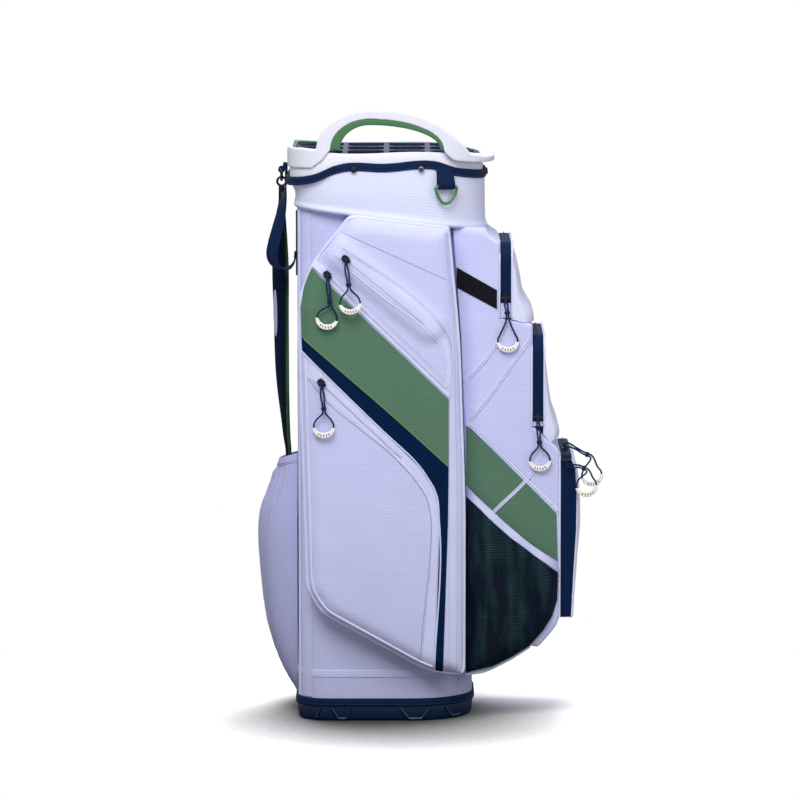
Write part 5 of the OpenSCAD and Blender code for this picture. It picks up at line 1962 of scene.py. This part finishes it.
    def patch(self) -> None:
        """Sews the loop-pile patch that holds a glove."""
        patch = [(107.5, 646), (167, 614), (167, 642), (107.5, 676)]
        low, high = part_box("glove_patch")
        thick = (high.y - low.y) / MM
        self.shop.keep(Form.panel(patch, self.level, thick=thick, step=4), "glove_patch_pile", LOOPS,
                       replaces=["glove_patch"])
        rows = Form()
        for share in (0.23, 0.5, 0.74):
            a = Vector(patch[0]).lerp(Vector(patch[1]), share)
            b = Vector(patch[3]).lerp(Vector(patch[2]), share)
            path = [Vector((p.x, -self.half - thick - 0.4, p.y)) for p in (a.lerp(b, 0.06), a.lerp(b, 0.94))]
            rows.join(Form.stitches(path, Vector((0, -1, 0)), 4.2, 2.6, 0.5))
        self.shop.keep(rows, "glove_patch_stitches", PILE_THREAD)


@dataclass
class MeshPocket:
    """Open mesh pocket on the near face, with a hemmed mouth."""

    shop: Workshop
    back: float = 105.0
    full: float = 19.0
    foot: tuple[Flat, ...] = ((122, 336), (122, 71), (161.7, 81), (191, 95.5), (216, 111), (235.7, 133),
                              (250, 156), (257.5, 181), (258.5, 222))
    high: tuple[Flat, ...] = ((122, 352), (142, 332), (164.3, 311.9), (190.2, 288), (216, 267.4),
                              (258, 237.5))
    mouth: tuple[Flat, ...] = ((258, 224), (216, 254.5), (190.2, 274.1), (164.3, 296.3), (142, 318.4),
                               (122, 336))

    def level(self, x: float, z: float) -> float:
        """Gives how far out the mesh stands, folded softly up and down.

        Args:
            x: Place along the bag.
            z: Height.

        Returns:
            The distance from the bag's middle plane.
        """
        spot = Vector((x, z))
        least = 1e9
        for a, b in zip(self.foot, self.foot[1:]):
            start, leg = Vector(a), Vector(b) - Vector(a)
            share = max(0.0, min(1.0, (spot - start).dot(leg) / leg.length_squared))
            least = min(least, (spot - start - leg * share).length)
        t = min(1.0, least / 30)
        fill = math.sqrt(max(0.0, 1 - (1 - t) ** 2))
        folds = 1.7 * math.sin((x + z * 0.2) / 5.2) + 1.8 * ripple(Vector((x * 2.2, z * 0.4, 3)), 30)
        return self.back + 0.8 + (self.full - 4) * fill + folds * fill

    def build(self) -> None:
        """Builds the mesh, its hem and the piping at its foot."""
        outline = [*self.foot, *self.mouth[1:-1]]
        self.shop.keep(Form.panel(outline, self.level, thick=1.1, step=4), "mesh_pocket_net", MESH,
                       replaces=["mesh_pocket"])
        hem = [(p.x, p.y) for edge in (self.high, self.mouth) for p in smooth_line(edge, 6)]
        self.shop.keep(Form.panel(hem, lambda x, z: self.level(x, z - 8) - 0.6, thick=2.4, step=4),
                       "mesh_pocket_hem", WHITE_TAPE)
        # A darker line along the hem: painted shade along its seam.
        seam = [Vector((p.x, -self.level(p.x, p.y) - 1.9, p.y + 1.2)) for p in smooth_line(self.mouth, 5)]
        self.shop.keep(Form.tube(seam, 0.6, 6), "mesh_hem_seam", SEAM_SHADE)
        edge = [(122, 68.5), (149, 73), (170, 82), (192, 94), (217, 110.5)]
        path = [Vector((p.x, -self.back - 1.0, p.y)) for p in smooth_line(edge, 5)]
        self.shop.keep(Form.tube(path, 2.1), "mesh_foot_piping", PIPING)


@dataclass
class SpinePouch:
    """Soft stretch pouch on the spine with a tilted elastic hem."""

    shop: Workshop
    back: float = 128.3
    full: float = 60.0
    half: float = 82.0
    low: float = 36.0
    top: float = 389.0
    cloth: float = 2.0
    tilt: float = 16.0
    hem: float = 0.964
    levels: tuple[Triple, ...] = ((0, 0.08, 0.7), (0.08, 0.4, 0.85), (0.35, 0.86, 1),
                                                      (0.68, 1, 1), (0.9, 0.66, 0.9), (1, 0.47, 0.82))

    def ring(self, share: float, inset: float) -> list[Vector]:
        """Draws the pouch's plan at a share of its height.

        Args:
            share: Share of its height.
            inset: How far inside its face.

        Returns:
            Points from one edge on the spine round to the other.
        """
        line = self.shares
        spot = min(range(len(line)), key=lambda k: abs(line[k].x - share))
        full, half = line[spot].y, line[spot].z
        gather = ease((share - 0.62) / 0.34)
        smooth = 1.0 - 0.85 * ease((share - self.hem + 0.02) / 0.02)
        points = []
        for k in range(97):
            turn = math.radians(90 + 180 * k / 96)
            c = abs(math.cos(turn)) ** 0.75
            s = math.copysign(abs(math.sin(turn)) ** 0.75, math.sin(turn))
            pleat = math.sin(k * 1.31) + 0.6 * math.sin(k * 0.77 + 2.0)
            depth = (0.12 + 1.5 * gather) * pleat * c * smooth
            depth += 4.2 * ripple(Vector((k * 0.9, share * 16, 5)), 20) * c * smooth
            out = max(self.full * full * c - inset * c + depth - 2.0 * c, 0.3)
            y = (self.half * half - inset) * s
            z = self.low + share * (self.top - self.low) - self.tilt * gather * (0.5 + 0.5 * y / self.half)
            z += 8 * gather * (1 - c)
            points.append(Vector((-self.back - out, y, z)))
        return points

    def build(self) -> None:
        """Builds the pouch and its elastic hem."""
        self.shares = smooth_line(self.levels, 0.02)
        outer = [self.ring(k / 48, 0.0) for k in range(49)]
        inner = [self.ring(k / 48, self.cloth) for k in range(48, 1, -2)]
        self.shop.keep(Form().skin([*outer, *inner], closed=False, capped=False), "spine_pouch_cloth", POUCH,
                       replaces=["spine_pouch"])
        edge = [(self.hem, 0.2), (self.hem, -1.2), (0.975, -1.5), (0.99, -1.5), (1.0, -1.1), (1.0, 0.4)]
        hem = Form().skin([self.ring(share, inset) for share, inset in edge], closed=False, capped=False)
        self.shop.keep(hem, "spine_pouch_hem", POUCH)
        row = self.ring(self.hem + 0.006, -1.5)[6:-6]
        self.shop.keep(Form.stitches(row, Vector((-1, 0, 0)), 4.6, 2.8, 0.5), "spine_pouch_stitches",
                       DARK_THREAD)


@dataclass
class GrabHandle:
    """Webbing grab loop high on the spine, sewn on a backing strip."""

    shop: Workshop
    y: float = -36.0
    width: float = 24.0
    thick: float = 2.4
    hung: Flat = (-144.95, 806.5)
    sewn: Flat = (-132.0, 682.0)
    drape: tuple[Triple, ...] = ((0, 0, 0), (0, -7, 0), (-0.3, -14, 0), (-2.5, -30, 14), (-7, -54, 32),
                                 (-13, -80, 44), (-19, -103, 46), (-21.5, -117, 44), (-18.5, -130, 36),
                                 (-9, -138, 24), (2, -138.5, 12))
    foot: tuple[Triple, ...] = ((-4, -9, 4), (-0.4, -1, 0), (0, 5, 0), (0, 11, 0))

    def build(self) -> None:
        """Builds the loop, its backing and its rows of stitches."""
        low, high = (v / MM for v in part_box("spine_webbing"))
        middle = (low.x + high.x) / 2
        path = [Vector((middle, self.y, z)) for z in (low.z, (low.z + high.z) / 2, high.z)]
        strip = Form.sweep(path, strap_section(high.y - low.y, high.x - low.x), Vector((0, 1, 0)))
        self.shop.keep(strip, "spine_webbing_strip", NAVY_BAND, replaces=["spine_webbing"])
        rows = Form()
        places = []
        for start, offsets in ((self.hung, self.drape), (self.sewn, self.foot)):
            places += [Vector((start[0] + x, start[1] + z, turn)) for x, z, turn in offsets]
        places = smooth_line(places, 3.0)
        line = [Vector((p[0], self.y, p[1])) for p in places]
        turns = [math.radians(p[2]) for p in places]
        across = [Vector((-math.sin(t), math.cos(t), 0)) for t in turns]
        loop = Form.sweep(line, strap_section(self.width, self.thick), across)
        self.shop.keep(loop, "grab_loop", NAVY_BAND, replaces=["grab_handle"])
        for x, z in ((self.hung[0], self.hung[1] - 5), (self.sewn[0], self.sewn[1] + 4)):
            y0, y1 = self.y - self.width * 0.4, self.y + self.width * 0.4
            out = x - self.thick / 2 - 0.3
            path = [Vector((out, y0, z)), Vector((out, y1, z))]
            rows.join(Form.stitches(path, Vector((-1, 0, 0)), 3.6, 2.4, 0.5))
        self.shop.keep(rows, "grab_loop_stitches", THREAD)


@dataclass
class ShoulderStrap:
    """Padded shoulder strap: a dark inner pad, a navy outer face, piping and an inlay."""

    shop: Workshop
    x: float = -152.8
    y: float = 14.0
    top: float = 777.4
    low: float = 327.0

    def stations(self) -> list[Vector]:
        """Lists the pad's middle line.

        Returns:
            X offset, Z, width, thickness and turn in degrees of each row.
        """
        top, low = self.top, self.low
        rows = [(0, top, 25, 9.1, 0), (0, top - 4, 25, 9.1, 0), (0, top - 8, 25, 9.1, 0),
                (-1, top - 34, 40, 13, 10), (-1, top - 84, 50, 13, 20), (0, top - 190, 50, 13, 20),
                (2, top - 290, 45, 13, 16), (7, 413, 34, 11, 6), (9.5, 381, 34, 9.1, 0),
                (3, 353, 34, 9.1, 0), (0, low + 8, 25, 9.1, 0), (0, low + 4, 25, 9.1, 0),
                (0, low, 25, 9.1, 0)]
        return [Vector(row) for row in rows]

    def build(self) -> None:
        """Builds the pad and its trim and dresses the webbing and metal."""
        places = smooth_line(self.stations(), 4.0)
        line = [Vector((self.x + p[0], self.y, p[1])) for p in places]
        across = [Vector((-math.sin(math.radians(p[4])), math.cos(math.radians(p[4])), 0)) for p in places]
        last = len(places) - 1
        inner = [self.section(p[2] - 1.5, p[3] - 1.0, False) for p in places]
        pad = Form.sweep(line, lambda t: inner[round(t * last)], across)
        piece = self.shop.keep(pad, "strap_pad_core", STRAP_INNER, Body.STRAP, replaces=["strap_pad"])
        outer = [self.section(p[2], p[3], True) for p in places]
        self.shop.keep(Form.sweep(line, lambda t: outer[round(t * last)], across), "strap_pad_face",
                       STRAP_CLOTH, Body.STRAP)
        self.edges(line, places, across)
        self.shop.dress(NAVY_LOOP, "strap_tail", "strap_loop")
        self.shop.dress(BLACK_METAL, "strap_hook", "strap_ring")
        self.shop.dress(BLACK_PLASTIC, "strap_anchor")

    @staticmethod
    def section(width: float, thick: float, outer: bool) -> list[Flat]:
        """Draws the pad's section, or the cloth that covers its outer half.

        Args:
            width: Width.
            thick: Thickness.
            outer: True for the cloth.

        Returns:
            Points round the section.
        """
        points = []
        for k in range(32):
            turn = 2 * math.pi * k / 32
            c, s = math.cos(turn), math.sin(turn)
            reach = width / 2 * math.copysign(abs(c) ** 0.75, c)
            fill = thick / 2 * math.copysign(abs(s) ** 0.8, s)
            points.append((reach, min(fill, -0.24 * thick) if outer else fill))
        return points

    def edges(self, line: list[Vector], places: list[Vector], across: list[Vector]) -> None:
        """Sews piping along the pad's two edges and an inlay on its outer face.

        Args:
            line: Points of the pad's middle.
            places: The row at each point.
            across: Direction of the width at each point.
        """
        ridges = Form()
        inlay_path, inlay_across = [], []
        for i, (spot, place) in enumerate(zip(line, places)):
            ahead = (line[min(i + 1, len(line) - 1)] - line[max(i - 1, 0)]).normalized()
            out = ahead.cross(across[i]).normalized()
            if 560 < spot.z < 632:
                inlay_path.append(spot + across[i] * 11 - out * (place[3] / 2 - 0.4))
                inlay_across.append(across[i])
        for sign in (-1, 1):
            ridges.join(Form.tube([p + a * sign * (q[2] / 2 - 1.0) + Vector((-0.24 * q[3], 0, 0))
                                   for p, q, a in zip(line, places, across)], 1.5))
        self.shop.keep(ridges, "strap_edge_piping", STRAP_PIPING, Body.STRAP)

        def oval(share: float) -> list[Flat]:
            """Draws the inlay's section at a share of its length."""
            return strap_section(2 + 15 * math.sqrt(max(0, 1 - (2 * share - 1) ** 2)), 1.6)

        inlay = Form.sweep(inlay_path, oval, inlay_across)
        self.shop.keep(inlay, "strap_inlay_panel", STRAP_INLAY, Body.STRAP)


@dataclass
class TowelHolder:
    """Webbing loop and enamelled wire ring at the collar's near front corner."""

    shop: Workshop
    spot: Flat = (89.5, -123.6)
    wire: float = 2.3
    out: Flat = (0.4067, -0.9135)
    hang: tuple[Flat, ...] = ((-2.5, 826), (0.2, 814), (2.1, 797), (3.4, 794.2), (5.5, 793.4), (7.7, 794.4),
                              (8.9, 797), (6.5, 807), (2.6, 816), (-1.0, 826))
    ring: tuple[Flat, ...] = ((-14, 797), (-5, 797), (5, 797), (14, 797), (16.6, 795.2), (15.6, 789),
                              (9.8, 778), (6, 773.6), (0, 772), (-6, 773.6), (-9.8, 778), (-15.6, 789),
                              (-16.6, 795.2))

    def build(self) -> None:
        """Builds the doubled webbing and bends the ring."""
        out = Vector((*self.out, 0))
        along = Vector((-self.out[1], self.out[0], 0))
        foot = Vector((*self.spot, 0))
        path = [foot + out * p.x + Vector((0, 0, p.y)) for p in smooth_line(self.hang, 2.0)]
        self.shop.keep(Form.sweep(path, strap_section(26, 2.0), along), "towel_loop_web", NAVY_BAND,
                       replaces=["towel_loop"])
        rows = Form()
        for z in (804, 812):
            spot = foot + out * (8.6 - 0.32 * (z - 800)) + Vector((0, 0, z))
            rows.join(Form.stitches([spot - along * 10.5, spot + along * 10.5], out, 3.6, 2.4, 0.5))
        self.shop.keep(rows, "towel_loop_stitches", THREAD)
        bend = smooth_line([*self.ring, self.ring[0]], 1.6)[:-1]
        wire = [foot + out * 5.5 + along * p.x + Vector((0, 0, p.y)) for p in bend]
        self.shop.keep(Form.tube(wire, self.wire, 12, True), "towel_ring_wire", ENAMEL, Body.RING,
                       replaces=["towel_ring"])


@dataclass
class ZipPull:
    """Cord loop, knot and moulded crescent grip on one slider."""

    shop: Workshop
    name: str
    lead: Flat = (2, -37)
    hang: Flat = (1, -27)
    leave: Flat = (0, -1)
    flat: bool = False
    cord: float = 2.7
    bar: float = 2.4
    grip: float = 16.8
    grip_thick: float = 4.2
    knot: float = 2.6
    slots: tuple[float, ...] = (0.3, 0.4, 0.5, 0.6, 0.7)

    def build(self) -> None:
        """Builds the pull where its hinge is and dresses the slider."""
        pivot = self.shop.pivot(f"{self.name}_pull_swing")
        node = f"{self.name}_pull"
        lead, hang, leave = Vector(self.lead), Vector(self.hang), Vector(self.leave)
        centre = pivot + self.at(lead + hang)
        self.shop.keep(self.cord_loop(pivot, lead, hang, leave), f"{self.name}_cord", CORD, node, [node])
        self.shop.keep(self.keeper(pivot, lead), f"{self.name}_knot", CORD, node)
        self.shop.keep(self.crescent(centre, hang.normalized()), f"{self.name}_grip", CREAM, node)
        self.shop.keep(self.marks(centre, hang.normalized()), f"{self.name}_grip_slots", SLOT, node)
        self.shop.dress(SLIDER, f"{self.name}_slider")

    @staticmethod
    def at(spot: Vector, y: float = 0.0) -> Vector:
        """Places a point of the pull's own plane."""
        return Vector((spot.x, y, spot.y))

    def tip(self) -> Flat:
        """Gives the middle of a grip's horn, across and along the pull."""
        inner, lift, low = self.grip * 0.82, self.grip * 0.28, self.grip * 0.09
        return ((self.grip + inner * math.cos(math.asin((lift + low) / inner))) / 2, low)

    def cord_loop(self, pivot: Vector, lead: Vector, hang: Vector, leave: Vector) -> Form:
        """Builds the cord from one horn over the slider's bar to the other.

        Args:
            pivot: Middle of the slider's bar.
            lead: From the bar to the knot.
            hang: From the knot to the grip.
            leave: Direction in which the cord leaves the bar.

        Returns:
            The cord.
        """
        wrap = self.bar / 2 + self.cord / 2 + 0.25
        strand = self.cord / 2 + 0.2
        along, down = lead.normalized(), hang.normalized()
        across = Vector((-along.y, along.x)) * strand
        turn = Vector((-leave.y, leave.x)) * wrap
        wide = Vector((-down.y, down.x))
        centre = lead + hang
        tip_x, tip_z = self.tip()

        def strands(s: int) -> list[Vector]:
            """Lists one strand from the bar down to its horn.

            Args:
                s: Its side, -1 or 1.

            Returns:
                Points of the strand.
            """
            if self.flat:
                first = self.at(leave * 6 + turn * s * 0.9)
                second = self.at(leave * 5 + lead * 0.3 + across * s * 0.9)
            else:
                first = self.at(leave * 6 + across * s * 0.6, s * wrap * 0.8)
                second = self.at(leave * 5 + lead * 0.3 + across * s * 1.5, s * wrap * 0.45)
            half = self.knot
            held = [self.at(lead + along * d + across * s) for d in (-half - 3, -half, 0, half, half + 2)]
            ends = [self.at(centre + wide * s * tip_x * 0.8 - down * 9),
                    self.at(centre + wide * s * tip_x - down * 3),
                    self.at(centre + wide * s * tip_x + down * (tip_z + 1))]
            return [first, second, *held, *ends]

        if self.flat:
            over = [self.at(-turn), self.at(-leave * wrap), self.at(turn)]
        else:
            over = [self.at(Vector((0, 0)), -wrap), self.at(-leave * wrap), self.at(Vector((0, 0)), wrap)]
        path = smooth_line([*reversed(strands(-1)), *over, *strands(1)], 1.6)
        return Form.tube([pivot + p for p in path], self.cord / 2, 8)

    def keeper(self, pivot: Vector, lead: Vector) -> Form:
        """Builds the small knot that holds the two strands.

        Args:
            pivot: Middle of the slider's bar.
            lead: From the bar to the knot.

        Returns:
            The knot.
        """
        half = self.knot
        along = self.at(lead.normalized())
        centre = pivot + self.at(lead)
        profile = [(-1.0, 0.55), (-0.8, 0.85), (-0.35, 1.0), (0.0, 0.93), (0.35, 1.0), (0.8, 0.85),
                   (1.0, 0.55)]
        side = Vector((0, 1, 0))
        across = along.cross(side)
        rings = [[centre + along * d * half + side * a * r * 0.62 + across * b * r for a, b in disc(4.2, 20)]
                 for d, r in profile]
        return Form().skin(rings)

    def arc(self, share: float) -> tuple[Vector, Vector]:
        """Finds the crescent's edges, across and along the pull.

        Args:
            share: Share of the crescent's sweep.

        Returns:
            The inner and the outer edge's point.
        """
        inner, lift = self.grip * 0.82, self.grip * 0.28
        tip = math.asin(0.09)
        inner_tip = math.asin((lift + self.grip * 0.09) / inner)
        a = math.pi + tip + (math.pi - 2 * tip) * share
        b = math.pi + inner_tip + (math.pi - 2 * inner_tip) * share
        outer = Vector((self.grip * math.cos(a), -self.grip * math.sin(a)))
        return Vector((inner * math.cos(b), -lift - inner * math.sin(b))), outer

    def crescent(self, centre: Vector, down: Vector) -> Form:
        """Builds the crescent grip.

        Args:
            centre: Middle of the grip.
            down: Direction in which it hangs.

        Returns:
            The grip.
        """
        wide = self.at(Vector((-down.y, down.x)))
        drop = self.at(down)
        out = Vector((0, 1, 0))
        rings = []
        count = 60
        for k in range(count + 1):
            inside, outer = self.arc(k / count)
            half = self.grip_thick / 2 * (0.6 if k in (0, count) else 1.0)
            section = [(0.0, 0.6), (0.12, 1.0), (0.88, 1.0), (1.0, 0.6), (1.0, -0.6), (0.88, -1.0),
                       (0.12, -1.0), (0.0, -0.6)]
            ring = []
            for share, h in section:
                spot = inside.lerp(outer, share)
                ring.append(centre + wide * spot.x + drop * spot.y + out * h * half)
            rings.append(ring)
        return Form().skin(rings)

    def marks(self, centre: Vector, down: Vector) -> Form:
        """Lays the row of dark slots on both faces of the crescent.

        Args:
            centre: Middle of the grip.
            down: Direction in which it hangs.

        Returns:
            The slots.
        """
        wide = self.at(Vector((-down.y, down.x)))
        drop = self.at(down)
        form = Form()
        for share in self.slots:
            inside, outer = self.arc(share)
            spot, leg = inside.lerp(outer, 0.52), outer - inside
            middle = centre + wide * spot.x + drop * spot.y
            ahead = wide * leg.x + drop * leg.y
            for s in (-1, 1):
                face = Vector((0, s, 0))
                form.bead(middle + face * (self.grip_thick / 2), ahead, face, (leg.length * 0.34, 0.95, 0.3))
        return form


def main() -> None:
    """Builds the bag piece by piece and reports it."""
    logging.basicConfig(level=logging.INFO, format="%(message)s")
    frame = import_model()
    Studio().build()
    shop = Workshop(frame)
    FootTray(shop).build()
    TubeBody(shop).build()
    Cuff(shop).build()
    Collar(shop).build()
    for side in Side:
        SidePocket(shop, side).build()
    FrontPockets(shop).build()
    MeshPocket(shop).build()
    SpinePouch(shop).build()
    GrabHandle(shop).build()
    ShoulderStrap(shop).build()
    TowelHolder(shop).build()
    pulls = {"upper": ((4, -37), (2, -27)), "band": ((3, -38), (-4, -25)), "lower": ((3, -37), (0, -27))}
    for side in Side:
        for zip_name, (lead, hang) in pulls.items():
            ZipPull(shop, f"{side.name.lower()}_{zip_name}", lead=lead, hang=hang).build()
    ZipPull(shop, "front_upper", lead=(2, -22), hang=(1, -42)).build()
    ZipPull(shop, "front_middle").build()
    ZipPull(shop, "ball_side", lead=(26, -12), hang=(4, -26)).build()
    ZipPull(shop, "ball_top", lead=(33, -14), hang=(7, -31), leave=(1, 0), flat=True).build()


if __name__ == "__main__":
    main()
